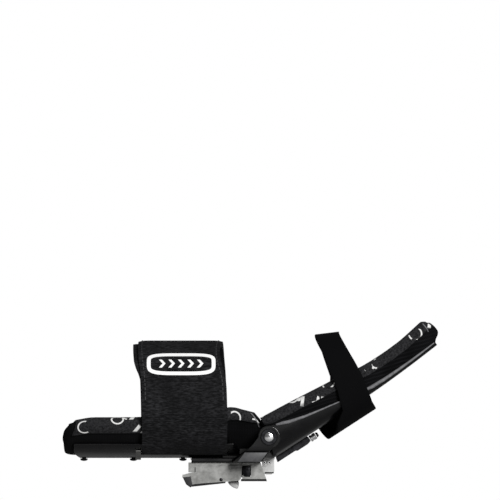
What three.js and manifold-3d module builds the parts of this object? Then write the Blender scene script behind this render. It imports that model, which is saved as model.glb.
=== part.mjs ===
// A hinged bowling wrist support, in millimetres, worn on a right forearm with the palm up.
// The origin is on the axis of the forearm hollow, at the middle of the forearm strap.
// X runs toward the fingers, Z toward the palm, and the thumb's side is at negative Y.

import * as THREE from "three";
import { mergeVertices } from "three/addons/utils/BufferGeometryUtils.js";
import Module from "manifold-3d";

const wasm = await Module();
wasm.setup();

// Fits
const gap = 0.3;
const linerGap = 0.4;

// Forearm part
const hollowRadius = 31;
const linerThickness = 1;
const forearmPadThickness = 9.7;
const forearmPadRear = -82;
const forearmPadNarrowing = 9;
const padHingeRoom = 6.4;
const padMeeting = 0.1;
const padLowFront = 13.4;
const padEndSoftness = 6;
const plateThickness = 1.6;
const plateSteelRadius = hollowRadius + linerThickness + linerGap + forearmPadThickness + gap;
const plateHalfAngle = 37.6;
const plateShortRear = 7.7;
const plateShortFront = 19.7;
const plateCornerInset = 4.1;
const forearmFold = 7.6;

// Forearm strap
const strapThickness = 2;
const strapWidth = 57.5;
const slotStart = 18.5;
const slotEnd = 27.5;
const strapRimAngle = 71;
const strapUnderEnd = 88;
const strapOverEnd = 125;
const strapRecessSlope = 1.6;
const keeperStart = -30;
const keeperEnd = -6;
const keeperWidth = 3.6;
const keeperThickness = 1.2;

// Wrist hinge
const pivotX = 57.4;
const pivotZ = -29.85;
const cupAngle = 33;
const pivotShankRadius = 2.2;
const pivotDomeRadius = 3.4;
const pivotDomeHeight = 2.2;
const washerRadius = 5.6;
const washerThickness = 0.9;
const yokeThickness = 2.4;
const yokeEarRadius = 7.4;
const earClearance = 1;
const yokeCorner = 11.8;
const yokeRise = 7.4;
const yokeRear = 33;
const yokeFront = 52.7;

// Hand part, in its own frame at the hinge: u along the fingers, v toward the palm
const handHalfWidth = 35.4;
const handPlateThickness = 1.6;
const handPlateLength = 129;
const handDepth = 13.6;
const handRim = 14.4;
const handPadThickness = 9;
const handHeel = -4;
const handEarRadius = 7.6;
const fingerSide = 4;
const handPadHeel = 0.5;
const handPadTip = 133.8;
const handPadBulge = 1.8;
const handFold = 6.2;
const handPadEdge = 4.6;
const handRoll = 1.1;
const handRollHeight = 3;
const handStrapThickness = 1.8;
const handStrapSlack = 1.2;
const handStrapTop = 38;
const handStrapMiddle = 6;
const handStrapDrop = 29.4;
const handStrapLean = 0.49;
const handStrapSteps = 36;

// Latch
const latchSteel = 1.4;
const latchHalfWidth = 13.4;
const latchRear = 3;
const latchFront = 56;
const latchDepth = 12.4;
const latchPivotX = 42;
const latchPivotDrop = 4.7;
const latchPinRadius = 2;
const latchEndTab = 6.6;
const windowHalf = 3.1;
const windowDrop = 3.6;
const leverSteel = 1.5;
const leverRear = 7.8;
const leverFront = 38.5;
const leverSlope = 2;
const leverLip = 11.4;
const leverEarRadius = 4.1;
const hookLength = 7.6;
const hookDrop = 4.6;
const hookHalfWidth = 3.2;

// Heel lug, lock bar and screw
const lugHalfWidth = 6;
const lugTop = 14.4;
const lugBottom = 25.2;
const lugRear = 4.7;
const lugFront = 3.4;
const lugClearance = 1.5;
const lugFoot = 5.2;
const lugSteel = 1.6;
const lockHalfWidth = 6;
const lockLength = 26.3;
const lockDepth = 3.6;
const lockScrewRadius = 2.3;
const lockScrewLength = 4.4;

// Fasteners
const rivetRadius = 2.5;
const rivetShank = 1.5;
const rivetHeight = 1.7;

// Rings of points in from a round rim and a round end, as shares of the edge's radius
const rimRings = [0, 0.13, 0.5, 1];
const endRings = [0, 0.3, 1];
const foldColumn = rimRings.length;

// Values that follow
const degrees = Math.PI / 180;
const plateOuterRadius = plateSteelRadius + plateThickness;
const forearmPlateRear = forearmPadRear + plateShortRear;
const forearmPlateFront = pivotX - plateShortFront;
const padOuterRadius = plateSteelRadius - gap;
const padInnerRadius = hollowRadius + linerThickness + linerGap;
const yokeEarOuter = handHalfWidth + earClearance + yokeThickness;
const yokeFlatHalf = yokeEarOuter - yokeCorner;
const yokeTop = -plateOuterRadius - gap;
const yokeBottom = yokeTop - yokeThickness;
const latchWebTop = yokeBottom - gap;
const latchWebBottom = latchWebTop - latchSteel;
const latchPivotZ = latchWebBottom - latchPivotDrop;
const latchBottom = latchWebTop - latchDepth;
const leverHalfWidth = latchHalfWidth - latchSteel - gap;
const leverInside = leverHalfWidth - leverSteel;
const slotHalf = lugHalfWidth + lugClearance;
const slotRear = pivotX - 17.4;

const finishes = {
  lacquer: new THREE.MeshStandardMaterial({ color: 0x0b0b0c, roughness: 0.28, metalness: 0.1 }),
  foam: new THREE.MeshStandardMaterial({ color: 0x141416, roughness: 0.9, metalness: 0 }),
  liner: new THREE.MeshStandardMaterial({ color: 0x1d1d20, roughness: 0.85, metalness: 0 }),
  elastic: new THREE.MeshStandardMaterial({ color: 0x1a1a1c, roughness: 0.95, metalness: 0 }),
  webbing: new THREE.MeshStandardMaterial({ color: 0x101011, roughness: 0.8, metalness: 0 }),
  zinc: new THREE.MeshStandardMaterial({ color: 0xa8a8a6, roughness: 0.45, metalness: 0.9 }),
  chrome: new THREE.MeshStandardMaterial({ color: 0xdadada, roughness: 0.12, metalness: 1 }),
  darkSteel: new THREE.MeshStandardMaterial({ color: 0x2a2a2c, roughness: 0.5, metalness: 0.8 }),
};

const model = new THREE.Group();
const hand = new THREE.Group();
hand.position.set(pivotX, 0, pivotZ);
hand.rotation.y = -cupAngle * degrees;
model.add(hand);

// Closed meshes

function closed(geometry) {
  const bare = geometry.clone();
  bare.deleteAttribute("normal");
  bare.deleteAttribute("uv");
  const merged = mergeVertices(bare, 1e-3);
  const index = merged.index.array;
  const kept = [];
  for (let i = 0; i < index.length; i += 3) {
    const [a, b, c] = [index[i], index[i + 1], index[i + 2]];
    if (a !== b && b !== c && c !== a) kept.push(a, b, c);
  }
  merged.setIndex(kept);
  return merged;
}

function signedVolume(geometry) {
  const at = geometry.attributes.position;
  const index = geometry.index.array;
  const corners = [new THREE.Vector3(), new THREE.Vector3(), new THREE.Vector3()];
  let sum = 0;
  for (let i = 0; i < index.length; i += 3) {
    corners.forEach((corner, k) => corner.fromBufferAttribute(at, index[i + k]));
    sum += corners[0].dot(corners[1].cross(corners[2])) / 6;
  }
  return sum;
}

function facingOut(geometry) {
  if (signedVolume(geometry) > 0) return geometry;
  const index = geometry.index.array;
  for (let i = 0; i < index.length; i += 3) {
    [index[i + 1], index[i + 2]] = [index[i + 2], index[i + 1]];
  }
  return geometry;
}

function solid(geometry) {
  const tidy = facingOut(closed(geometry));
  return new wasm.Manifold(new wasm.Mesh({
    numProp: 3,
    vertProperties: new Float32Array(tidy.attributes.position.array),
    triVerts: new Uint32Array(tidy.index.array),
  }));
}

function geometryOf(made) {
  const mesh = made.getMesh();
  const geometry = new THREE.BufferGeometry();
  geometry.setAttribute("position", new THREE.BufferAttribute(new Float32Array(mesh.vertProperties), 3));
  geometry.setIndex(new THREE.BufferAttribute(new Uint32Array(mesh.triVerts), 1));
  return geometry;
}

function addPart(parent, name, shape, finish) {
  const geometry = shape.isBufferGeometry ? facingOut(closed(shape)) : geometryOf(shape);
  const mesh = new THREE.Mesh(geometry, finishes[finish]);
  mesh.name = name;
  parent.add(mesh);
  return mesh;
}

// Two grids of points, one each side of a wall, joined round their edge. A ring closes on itself
// along its rows, and where the two grids meet at the edge the wall ends in a line.
function wall(outer, inner, ring = false) {
  const rows = outer.length;
  const columns = outer[0].length;
  const positions = [];
  const push = (p) => positions.push(p.x, p.y, p.z);
  const quad = (a, b, c, d) => [a, b, c, a, c, d].forEach(push);
  const lastRow = ring ? rows : rows - 1;
  for (let i = 0; i < lastRow; i++) {
    const next = (i + 1) % rows;
    for (let j = 0; j < columns - 1; j++) {
      quad(outer[i][j], outer[next][j], outer[next][j + 1], outer[i][j + 1]);
      quad(inner[i][j], inner[i][j + 1], inner[next][j + 1], inner[next][j]);
    }
    quad(outer[i][0], inner[i][0], inner[next][0], outer[next][0]);
    const end = columns - 1;
    quad(outer[i][end], outer[next][end], inner[next][end], inner[i][end]);
  }
  if (!ring) {
    for (let j = 0; j < columns - 1; j++) {
      quad(outer[0][j], outer[0][j + 1], inner[0][j + 1], inner[0][j]);
      const end = rows - 1;
      quad(outer[end][j], inner[end][j], inner[end][j + 1], outer[end][j + 1]);
    }
  }
  const geometry = new THREE.BufferGeometry();
  geometry.setAttribute("position", new THREE.Float32BufferAttribute(positions, 3));
  return geometry;
}

// An outline in X and Z, drawn out to both sides of the middle plane
function slab(outline, halfWidth, centreY = 0) {
  const shape = new THREE.Shape(outline.map(([x, z]) => new THREE.Vector2(x, z)));
  const geometry = new THREE.ExtrudeGeometry(shape, { depth: 2 * halfWidth, bevelEnabled: false });
  geometry.rotateX(Math.PI / 2);
  geometry.translate(0, centreY + halfWidth, 0);
  return geometry;
}

function block(x0, x1, y0, y1, z0, z1) {
  const geometry = new THREE.BoxGeometry(x1 - x0, y1 - y0, z1 - z0);
  geometry.translate((x0 + x1) / 2, (y0 + y1) / 2, (z0 + z1) / 2);
  return geometry;
}

function uprightPin(x, y, radius, z0, z1, sides = 12) {
  const geometry = new THREE.CylinderGeometry(radius, radius, Math.abs(z1 - z0), sides);
  geometry.rotateX(Math.PI / 2);
  geometry.translate(x, y, (z0 + z1) / 2);
  return geometry;
}

// A rivet with its axis along +Z: the head's dome is at the top, the shank runs down from the seat
function rivet(radius, height, shank, shankLength, sides = 10) {
  const dome = 3;
  const profile = [new THREE.Vector2(0, -shankLength), new THREE.Vector2(shank, -shankLength)];
  profile.push(new THREE.Vector2(shank, 0), new THREE.Vector2(radius, 0));
  for (let i = 0; i < dome; i++) {
    const turn = (i / dome) * Math.PI / 2;
    profile.push(new THREE.Vector2(radius * Math.cos(turn), height * (0.35 + 0.65 * Math.sin(turn))));
  }
  profile.push(new THREE.Vector2(0, height));
  const geometry = new THREE.LatheGeometry(profile, sides);
  geometry.rotateX(Math.PI / 2);
  return geometry;
}

// The value of one column of a table at a place between its rows, smoothly joined
function column(table, key, at, value) {
  const last = table.length - 1;
  if (at <= table[0][key]) return table[0][value];
  if (at >= table[last][key]) return table[last][value];
  let i = 0;
  while (at > table[i + 1][key]) i++;
  const slope = (k) => {
    const before = table[Math.max(0, k - 1)];
    const after = table[Math.min(last, k + 1)];
    return (after[value] - before[value]) / (after[key] - before[key]);
  };
  const width = table[i + 1][key] - table[i][key];
  const t = (at - table[i][key]) / width;
  const h00 = (1 + 2 * t) * (1 - t) ** 2;
  const h01 = t * t * (3 - 2 * t);
  const h10 = t * (1 - t) ** 2;
  const h11 = t * t * (t - 1);
  return h00 * table[i][value] + h01 * table[i + 1][value] + width * (h10 * slope(i) + h11 * slope(i + 1));
}

function blend(from, to, at, start, end) {
  return from + (to - from) * THREE.MathUtils.smoothstep(at, start, end);
}

// How full a round edge is at a distance in from it
function roundness(distance, radius) {
  if (distance >= radius) return 1;
  return Math.sqrt(1 - (1 - Math.max(0, distance) / radius) ** 2);
}

function spaced(from, to, pieces) {
  return Array.from({ length: pieces + 1 }, (_, i) => from + ((to - from) * i) / pieces);
}

// Points on a circle about the forearm's axis, the angle measured from straight down
function around(x, angle, radius) {
  return new THREE.Vector3(x, radius * Math.sin(angle * degrees), -radius * Math.cos(angle * degrees));
}

// Forearm trough

function forearmPlate() {
  const angles = spaced(-plateHalfAngle, plateHalfAngle, 18);
  const shares = spaced(0, 1, 6);
  const row = (radius) => (angle) => shares.map((share) => {
    const side = THREE.MathUtils.smoothstep(Math.abs(angle), 0, plateHalfAngle * 0.7);
    const corner = THREE.MathUtils.smoothstep(Math.abs(angle), plateHalfAngle * 0.8, plateHalfAngle);
    const rear = forearmPlateRear + plateCornerInset * (1 - side);
    const front = forearmPlateFront - plateCornerInset * corner;
    return around(rear + (front - rear) * share, angle, radius);
  });
  let plate = solid(wall(angles.map(row(plateOuterRadius)), angles.map(row(plateSteelRadius))));
  const halfSlot = strapWidth / 2 + 2 * gap;
  for (const side of [-1, 1]) {
    const length = plateSteelRadius * (slotEnd - slotStart) * degrees;
    const cutter = new THREE.BoxGeometry(2 * halfSlot, length, 3 * plateThickness);
    cutter.translate(0, 0, -(plateSteelRadius + plateOuterRadius) / 2);
    cutter.rotateX(side * ((slotStart + slotEnd) / 2) * degrees);
    plate = plate.subtract(solid(cutter));
  }
  for (const x of plateRivets) {
    const hole = uprightPin(
      x, 0, rivetShank + gap, -plateOuterRadius - plateThickness, -plateSteelRadius + plateThickness,
    );
    plate = plate.subtract(solid(hole));
  }
  return plate;
}

const plateRivets = [0.061, 0.359, 0.657].map((share) => (
  forearmPlateRear + share * (forearmPlateFront - forearmPlateRear)
));

// Forearm pad: its rim's angle along the length, from the rear end to the wrist
const rimAlong = [
  { share: 0, angle: 57 },
  { share: 0.1, angle: 62 },
  { share: 0.35, angle: 62.5 },
  { share: 0.6, angle: 66 },
  { share: 0.84, angle: 73 },
  { share: 0.92, angle: 71.5 },
  { share: 1, angle: 65 },
];

function forearmPadFront(angle) {
  const raised = THREE.MathUtils.smoothstep(Math.abs(angle), 5, 45);
  const top = Math.max(0, -padInnerRadius * Math.cos(angle * degrees) - pivotZ);
  const lean = top * Math.tan(cupAngle * degrees);
  const low = blend(pivotX - padLowFront, pivotX - padHingeRoom, raised, 0, 1);
  return low + (padHingeRoom - padMeeting) * THREE.MathUtils.smoothstep(top, 0, padEndSoftness) - lean;
}

function forearmPadRearAt(angle, rim) {
  return forearmPadRear + padEndSoftness * THREE.MathUtils.smoothstep(Math.abs(angle), rim - 22, rim);
}

// How far the pad's back is hollowed for the strap that runs between it and the plate
function strapRecess(x, angle) {
  const reach = strapWidth / 2 + 2 * gap;
  const along = 1 - THREE.MathUtils.smoothstep(Math.abs(x), reach, reach + strapRecessSlope);
  const across = 1 - THREE.MathUtils.smoothstep(Math.abs(angle), slotEnd, slotEnd + 5);
  return (strapThickness + gap) * along * across;
}

// Places along the pad: rings in from each end, fixed places at the strap, shares of the rest
function forearmPadStations(edge) {
  const reach = strapWidth / 2 + 2 * gap;
  const step = strapRecessSlope;
  const behind = [0.35, 0.63, 0.88].map((share) => forearmPadRear + share * -(forearmPadRear + reach));
  const fixed = [...behind, -reach - step, -reach, -reach / 2, 0, reach / 2, reach, reach + step];
  const rings = endRings.map((share) => share * edge);
  return [
    ...rings.map((distance) => (rear) => rear + distance),
    ...fixed.map((x) => () => x),
    (rear, front) => (reach + step + front - edge) / 2,
    ...rings.slice().reverse().map((distance) => (rear, front) => front - distance),
  ];
}

function forearmPadGrids() {
  const edge = forearmPadThickness / 2;
  const middleRadius = padInnerRadius + edge;
  const outer = [];
  const inner = [];
  for (const place of forearmPadStations(edge)) {
    const nominal = place(forearmPadRear, pivotX - 6);
    const share = (nominal - forearmPadRear) / (pivotX - 6 - forearmPadRear);
    const rim = column(rimAlong, "share", share, "angle");
    const rings = rimRings.map((ring) => (ring * edge) / (middleRadius * degrees));
    const fold = forearmFold / (middleRadius * degrees);
    const angles = rings.map((ring) => ring - rim);
    angles.push(...spaced(fold - rim, rim - fold, 7));
    angles.push(...rings.slice().reverse().map((ring) => rim - ring));
    const outerRow = [];
    const innerRow = [];
    for (const angle of angles) {
      const rear = forearmPadRearAt(angle, rim);
      const front = forearmPadFront(angle);
      const x = place(rear, front);
      const across = (rim - Math.abs(angle)) * degrees * middleRadius;
      const full = roundness(Math.min(x - rear, front - x), edge) * roundness(across, edge);
      const narrow = THREE.MathUtils.smoothstep(x, yokeRear - 16, yokeRear + 4);
      const narrowing = narrow * (forearmPadNarrowing / padOuterRadius);
      const squeeze = 1 - narrowing * Math.abs(Math.sin(angle * degrees));
      const back = (padOuterRadius - strapRecess(x, angle)) * squeeze;
      const face = padInnerRadius * squeeze;
      const middle = (back + face) / 2;
      outerRow.push(around(x, angle, middle + (back - middle) * full));
      innerRow.push(around(x, angle, middle + (face - middle) * full));
    }
    outer.push(outerRow);
    inner.push(innerRow);
  }
  return { outer, inner };
}

// A liner of one thickness that lies on a pad's inner face and is folded over both rims
function linerOver(grids, rows) {
  const inside = [];
  const outside = [];
  for (const i of rows) {
    const outerRow = grids.outer[i];
    const innerRow = grids.inner[i];
    const last = outerRow.length - 1;
    const path = [];
    for (let k = foldColumn; k > 0; k--) path.push(outerRow[k]);
    for (let k = 0; k <= last; k++) path.push(innerRow[k]);
    for (let k = last - 1; k >= last - foldColumn; k--) path.push(outerRow[k]);
    const low = [];
    const high = [];
    path.forEach((p, k) => {
      const before = path[Math.max(0, k - 1)];
      const after = path[Math.min(path.length - 1, k + 1)];
      const along = new THREE.Vector2(after.y - before.y, after.z - before.z).normalize();
      const shift = (distance) => new THREE.Vector3(p.x, p.y - along.y * distance, p.z + along.x * distance);
      low.push(shift(linerGap));
      high.push(shift(linerGap + linerThickness));
    });
    inside.push(low);
    outside.push(high);
  }
  return wall(outside, inside);
}

// Forearm strap: it starts on the arm at the near side, goes over the top and down the far side,
// through both slots under the pad, up the near side over its own start and over the top again.
function strapRadius(turn) {
  const angle = Math.abs(THREE.MathUtils.euclideanModulo(turn + 180, 360) - 180);
  const second = turn < -360 - strapRimAngle;
  const mid = strapThickness / 2;
  const onArm = hollowRadius + mid + (second ? strapThickness + gap : 0);
  const under = plateSteelRadius - gap - mid;
  const over = plateOuterRadius + gap + mid;
  const onPad = padOuterRadius + linerThickness + linerGap + gap + mid;
  const tangent = strapRimAngle + Math.acos(onArm / onPad) / degrees;
  if (turn > -180 || angle >= tangent) return onArm;
  if (angle > strapRimAngle) return onArm / Math.cos((tangent - angle) * degrees);
  if (angle > plateHalfAngle) return blend(over, onPad, angle, plateHalfAngle + 2, strapRimAngle);
  return blend(under, over, angle, slotStart, slotEnd);
}

// Its two edges, as shares of half its width, along the turns it makes
const strapEdges = [
  { turn: 88, left: -0.97, right: 0.9 },
  { turn: 108, left: -1.03, right: 0.88 },
  { turn: 126, left: -1.17, right: 0.82 },
  { turn: 150, left: -1.19, right: 0.82 },
  { turn: 180, left: -1.19, right: 0.88 },
  { turn: 250, left: -1.03, right: 0.98 },
  { turn: 294, left: -1, right: 1 },
  { turn: 400, left: -0.98, right: 1 },
  { turn: 426, left: -0.98, right: 1.02 },
  { turn: 462, left: -1, right: 0.99 },
  { turn: 474, left: -1.02, right: 0.94 },
  { turn: 489, left: -1.06, right: 0.85 },
  { turn: 508, left: -1.08, right: 0.83 },
  { turn: 540, left: -1.06, right: 0.9 },
  { turn: 595, left: -1.02, right: 0.95 },
];

function forearmStrap() {
  const turns = [];
  let turn = strapUnderEnd;
  const end = 720 - strapOverEnd;
  while (turn < end - 1) {
    turns.push(turn);
    const angle = Math.abs(THREE.MathUtils.euclideanModulo(turn + 180, 360) - 180);
    turn += angle > slotStart - 10 && angle < slotEnd + 10 ? 3 : 8.5;
  }
  turns.push(end);
  const outer = [];
  const inner = [];
  for (const at of turns) {
    const here = around(0, -at, strapRadius(-at));
    const ahead = around(0, -at - 0.5, strapRadius(-at - 0.5));
    const back = around(0, -at + 0.5, strapRadius(-at + 0.5));
    const along = ahead.sub(back).normalize();
    const normal = new THREE.Vector3(0, along.z, -along.y);
    if (normal.dot(here) < 0) normal.negate();
    const left = column(strapEdges, "turn", at, "left") * strapWidth / 2;
    const right = column(strapEdges, "turn", at, "right") * strapWidth / 2;
    const points = (side) => spaced(left, right, 3).map((x) => {
      const p = here.clone().addScaledVector(normal, side * strapThickness / 2);
      p.x = x;
      return p;
    });
    outer.push(points(1));
    inner.push(points(-1));
  }
  return wall(outer, inner);
}

function strapKeeper() {
  const angles = spaced(keeperStart, keeperEnd, 6);
  const front = -strapWidth / 2 - gap;
  const xs = [front - keeperWidth, front];
  const row = (radius) => (angle) => xs.map((x) => around(x, angle, radius));
  const seat = plateOuterRadius + gap;
  return wall(angles.map(row(seat + keeperThickness)), angles.map(row(seat)));
}

// Wrist yoke: a U in the YZ plane whose ears are round about the hinge
function yokeSide(z) {
  const above = z - pivotZ;
  const chord = Math.sqrt(Math.max(0, yokeEarRadius ** 2 - Math.max(0, above) ** 2));
  const drop = Math.max(0, -above) / (pivotZ - yokeBottom);
  const rear = pivotX - chord - drop ** 1.25 * (pivotX - yokeEarRadius - yokeRear);
  const front = pivotX + chord - drop * (pivotX + yokeEarRadius - yokeFront);
  return { rear, front };
}

function hingeYoke() {
  const ear = [0.97, 0.85, 0.6, 0.3, 0, -0.65].map((share) => pivotZ + yokeEarRadius * share);
  const half = ear.map((z) => ({ y: yokeEarOuter, z, side: [1, 0] }));
  const low = yokeBottom + yokeRise;
  half.push({ y: yokeEarOuter, z: low + 1, side: [1, 0.25] });
  half.push({ y: yokeEarOuter - 1.6, z: low - 1.6, side: [0.8, -0.5] });
  half.push({ y: yokeFlatHalf + 2.4, z: yokeBottom + 0.9, side: [0.42, -0.92] });
  half.push({ y: yokeFlatHalf - 2, z: yokeBottom, side: [0.1, -1] });
  half.push({ y: yokeCorner, z: yokeBottom, side: [0, -1] });
  const far = half.slice().reverse().map((p) => ({ y: -p.y, z: p.z, side: [-p.side[0], p.side[1]] }));
  const path = [...half, { y: 0, z: yokeBottom, side: [0, -1] }, ...far];
  const place = (depth) => path.map((p) => {
    const size = Math.hypot(p.side[0], p.side[1]);
    const y = p.y - (p.side[0] / size) * depth;
    const z = p.z - (p.side[1] / size) * depth;
    const edges = yokeSide(p.z);
    return spaced(edges.rear, edges.front, 3).map((x) => new THREE.Vector3(x, y, z));
  });
  let yoke = solid(wall(place(0), place(yokeThickness)));
  const hole = crossHole(pivotX, pivotZ, pivotShankRadius + gap, 2 * yokeEarOuter);
  yoke = yoke.subtract(hole);
  const notch = block(slotRear, yokeFront + 2, -slotHalf, slotHalf, yokeBottom - 2, yokeTop + 2);
  return yoke.subtract(solid(notch));
}

// A cutter along Y through a point of the XZ plane
function crossHole(x, z, radius, reach, sides = 12) {
  const geometry = new THREE.CylinderGeometry(radius, radius, 2 * reach, sides);
  geometry.translate(x, 0, z);
  return solid(geometry);
}

// Hand trough, in the hand's frame, at shares of handPlateLength. The base, the steel's top and the
// bend are shares of handDepth, the pad's rim of handRim, the side of handPadThickness, and the
// near and far edges of the half width.
const handShape = [
  { share: 0, base: -1, wallTop: 0.537, bend: 1.03, rim: 1, side: 1, near: 1, far: 1 },
  { share: 0.19, base: -1, wallTop: 0, bend: 0.846, rim: 0.861, side: 1, near: 1, far: 1 },
  { share: 0.4, base: -0.985, wallTop: -0.382, bend: 0.544, rim: 0.667, side: 1, near: 1, far: 1 },
  { share: 0.5, base: -0.978, wallTop: -0.544, bend: 0.382, rim: 0.583, side: 0.944, near: 1, far: 0.86 },
  { share: 0.6, base: -0.956, wallTop: -0.625, bend: 0.294, rim: 0.431, side: 0.778, near: 1, far: 0.1 },
  { share: 0.7, base: -0.919, wallTop: -0.647, bend: 0.25, rim: 0.403, side: 0.711, near: 1, far: 0 },
  { share: 0.84, base: -0.838, wallTop: -0.618, bend: 0.206, rim: 0.451, side: 0.689, near: 0.99, far: 0 },
  { share: 1, base: -0.713, wallTop: -0.522, bend: 0.176, rim: 0.688, side: 0.667, near: 0.97, far: 0 },
];

const handPlaces = [
  0.054, 0.132, 0.217, 0.31, 0.388, 0.434, 0.473, 0.512, 0.55, 0.597, 0.667, 0.76, 0.853, 0.938,
].map((share) => share * handPlateLength);

function handAt(u) {
  const share = u / handPlateLength;
  const get = (value) => column(handShape, "share", share, value);
  return {
    base: get("base") * handDepth,
    wallTop: get("wallTop") * handDepth,
    bend: get("bend") * handDepth,
    rim: get("rim") * handRim,
    side: get("side") * handPadThickness,
    near: -handHalfWidth * get("near"),
    far: -fingerSide + (handHalfWidth + fingerSide) * get("far"),
  };
}

// One trough section from the near top to the far top: a side, a bend, the base, a bend, a side
function troughSection(near, far, base, top, bend, sideSteps, bendSteps, baseSteps) {
  const points = [];
  const centre = base + bend;
  for (const v of spaced(top, centre, sideSteps)) points.push([near, v]);
  for (const turn of spaced(0, 90, bendSteps).slice(1)) {
    const t = turn * degrees;
    points.push([near + bend * (1 - Math.cos(t)), centre - bend * Math.sin(t)]);
  }
  for (const y of spaced(near + bend, far - bend, baseSteps).slice(1)) points.push([y, base]);
  for (const turn of spaced(90, 0, bendSteps).slice(1)) {
    const t = turn * degrees;
    points.push([far - bend * (1 - Math.cos(t)), centre - bend * Math.sin(t)]);
  }
  for (const v of spaced(centre, top, sideSteps).slice(1)) points.push([far, v]);
  return points;
}

function handPlate() {
  const places = [handHeel, handPadHeel, ...handPlaces, handPlateLength];
  const grid = (depth) => places.map((u) => {
    const at = handAt(u);
    const top = Math.max(at.wallTop, at.base + at.bend + gap);
    const bend = Math.max(0.6, at.bend - depth);
    const points = troughSection(at.near + depth, at.far - depth, at.base + depth, top, bend, 2, 3, 2);
    const roll = handRoll * THREE.MathUtils.smoothstep(u, handEarRadius, 2 * handEarRadius);
    const last = points.length - 1;
    return points.map(([y, v], k) => {
      const fromTop = Math.min(k, last - k);
      const height = fromTop === 1 ? Math.max(v, top - handRollHeight) : v;
      const outward = fromTop === 0 ? roll * Math.sign(k - last / 2) : 0;
      const heel = u === handHeel ? 5 * THREE.MathUtils.smoothstep(v, at.base + 2, at.base + 14) : 0;
      return new THREE.Vector3(u + heel, y + outward, height);
    });
  });
  let plate = solid(wall(grid(0), grid(handPlateThickness)));
  for (const side of [-1, 1]) {
    const middle = side * (handHalfWidth - handPlateThickness / 2);
    const ear = new THREE.CylinderGeometry(handEarRadius, handEarRadius, handPlateThickness, 20);
    ear.translate(0, middle, 0);
    plate = plate.add(solid(ear));
  }
  return plate.subtract(crossHole(0, 0, pivotShankRadius + gap, 2 * handHalfWidth));
}

function handPadGrids() {
  const edge = handPadEdge;
  const ends = endRings.map((ring) => ring * edge);
  const places = ends.slice(0, -1).map((distance) => handPadHeel + distance);
  places.push(...handPlaces, ...ends.slice().reverse().map((distance) => handPadTip - distance));
  const outer = [];
  const inner = [];
  const seat = handPlateThickness + gap;
  for (const u of places) {
    const at = handAt(u);
    const endFull = roundness(Math.min(u - handPadHeel, handPadTip - u), edge);
    const rim = at.rim - linerThickness - linerGap;
    const bend = Math.max(0.8, at.bend - seat);
    const thick = at.side + 0.4;
    const innerBend = Math.max(1.2, bend - at.side * 0.6);
    const floor = at.base + seat + thick;
    const outline = troughSection(at.near + seat, at.far - seat, at.base + seat, rim, bend, 6, 3, 2);
    const near = at.near + seat + at.side;
    const hollow = troughSection(near, at.far - seat - at.side, floor, rim, innerBend, 6, 3, 2);
    const pinch = rim - at.wallTop - 0.8;
    const fold = Math.min(handFold, pinch - 1.4);
    const distances = [...rimRings.map((ring) => ring * Math.min(edge, fold - 1)), fold, pinch];
    const deep = Math.min(1, (rim - floor - innerBend) / (1.1 * pinch));
    const last = outline.length - 1;
    const outerRow = [];
    const innerRow = [];
    outline.forEach((p, k) => {
      const fromRim = Math.min(k, last - k);
      const onSide = fromRim < distances.length;
      const distance = onSide ? distances[fromRim] : edge;
      const outerV = onSide ? rim - distance : p[1];
      const innerV = onSide ? rim - distance * deep : hollow[k][1];
      const over = THREE.MathUtils.smoothstep(outerV, at.wallTop + 0.9, at.wallTop + 4);
      const outerY = p[0] + over * handPadBulge * Math.sign(k - last / 2);
      const full = roundness(distance, Math.min(edge, fold - 1)) * endFull;
      const middleY = (outerY + hollow[k][0]) / 2;
      const middleV = (outerV + innerV) / 2;
      const place = (y, v) => new THREE.Vector3(u, middleY + (y - middleY) * full, middleV + (v - middleV) * full);
      outerRow.push(place(outerY, outerV));
      innerRow.push(place(hollow[k][0], innerV));
    });
    outer.push(outerRow);
    inner.push(innerRow);
  }
  return { outer, inner };
}

// Hand strap: a closed loop round the trough and the palm, wide below and narrow above, its two
// edges as shares of handPlateLength
const handStrapShape = [
  { turn: 0, left: 0.262, right: 0.55 },
  { turn: 45, left: 0.243, right: 0.554 },
  { turn: 56, left: 0.24, right: 0.564 },
  { turn: 80, left: 0.375, right: 0.585 },
  { turn: 100, left: 0.44, right: 0.592 },
  { turn: 130, left: 0.474, right: 0.597 },
  { turn: 180, left: 0.492, right: 0.605 },
  { turn: 230, left: 0.477, right: 0.597 },
  { turn: 260, left: 0.448, right: 0.592 },
  { turn: 280, left: 0.432, right: 0.585 },
  { turn: 304, left: 0.398, right: 0.564 },
  { turn: 315, left: 0.336, right: 0.554 },
  { turn: 360, left: 0.262, right: 0.55 },
];

function handStrap() {
  const loop = (depth) => Array.from({ length: handStrapSteps }, (_, i) => {
    const turn = (i / handStrapSteps) * 360;
    const t = turn * degrees;
    const lower = Math.cos(t) > 0;
    const power = lower ? 3.6 : 2.3;
    const sin = Math.sin(t);
    const cos = Math.cos(t);
    const size = (Math.abs(sin) ** power + Math.abs(cos) ** power) ** (-1 / power);
    const width = handHalfWidth + handRoll + gap + handStrapSlack + handStrapThickness - depth;
    const reach = (lower ? handStrapDrop : handStrapTop - handStrapMiddle) - depth;
    const y = width * size * sin;
    const v = handStrapMiddle - reach * size * cos;
    const lean = handStrapLean * Math.max(0, -size * cos) ** 2;
    const middle = 0.545 * handPlateLength;
    const left = column(handStrapShape, "turn", turn, "left") * handPlateLength;
    const right = column(handStrapShape, "turn", turn, "right") * handPlateLength;
    return spaced(left, right, 2).map((u) => new THREE.Vector3(u, y, v + lean * (middle - u)));
  });
  return wall(loop(0), loop(handStrapThickness), true);
}

// Latch

// The black seat that the latch hangs from, between the plate and the latch's web
function latchMount() {
  const outline = [
    [latchRear + 1, yokeTop],
    [yokeRear - gap, yokeTop],
    [yokeRear - gap, yokeBottom],
    [latchRear + 3, yokeBottom],
  ];
  return slab(outline, latchHalfWidth);
}

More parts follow.
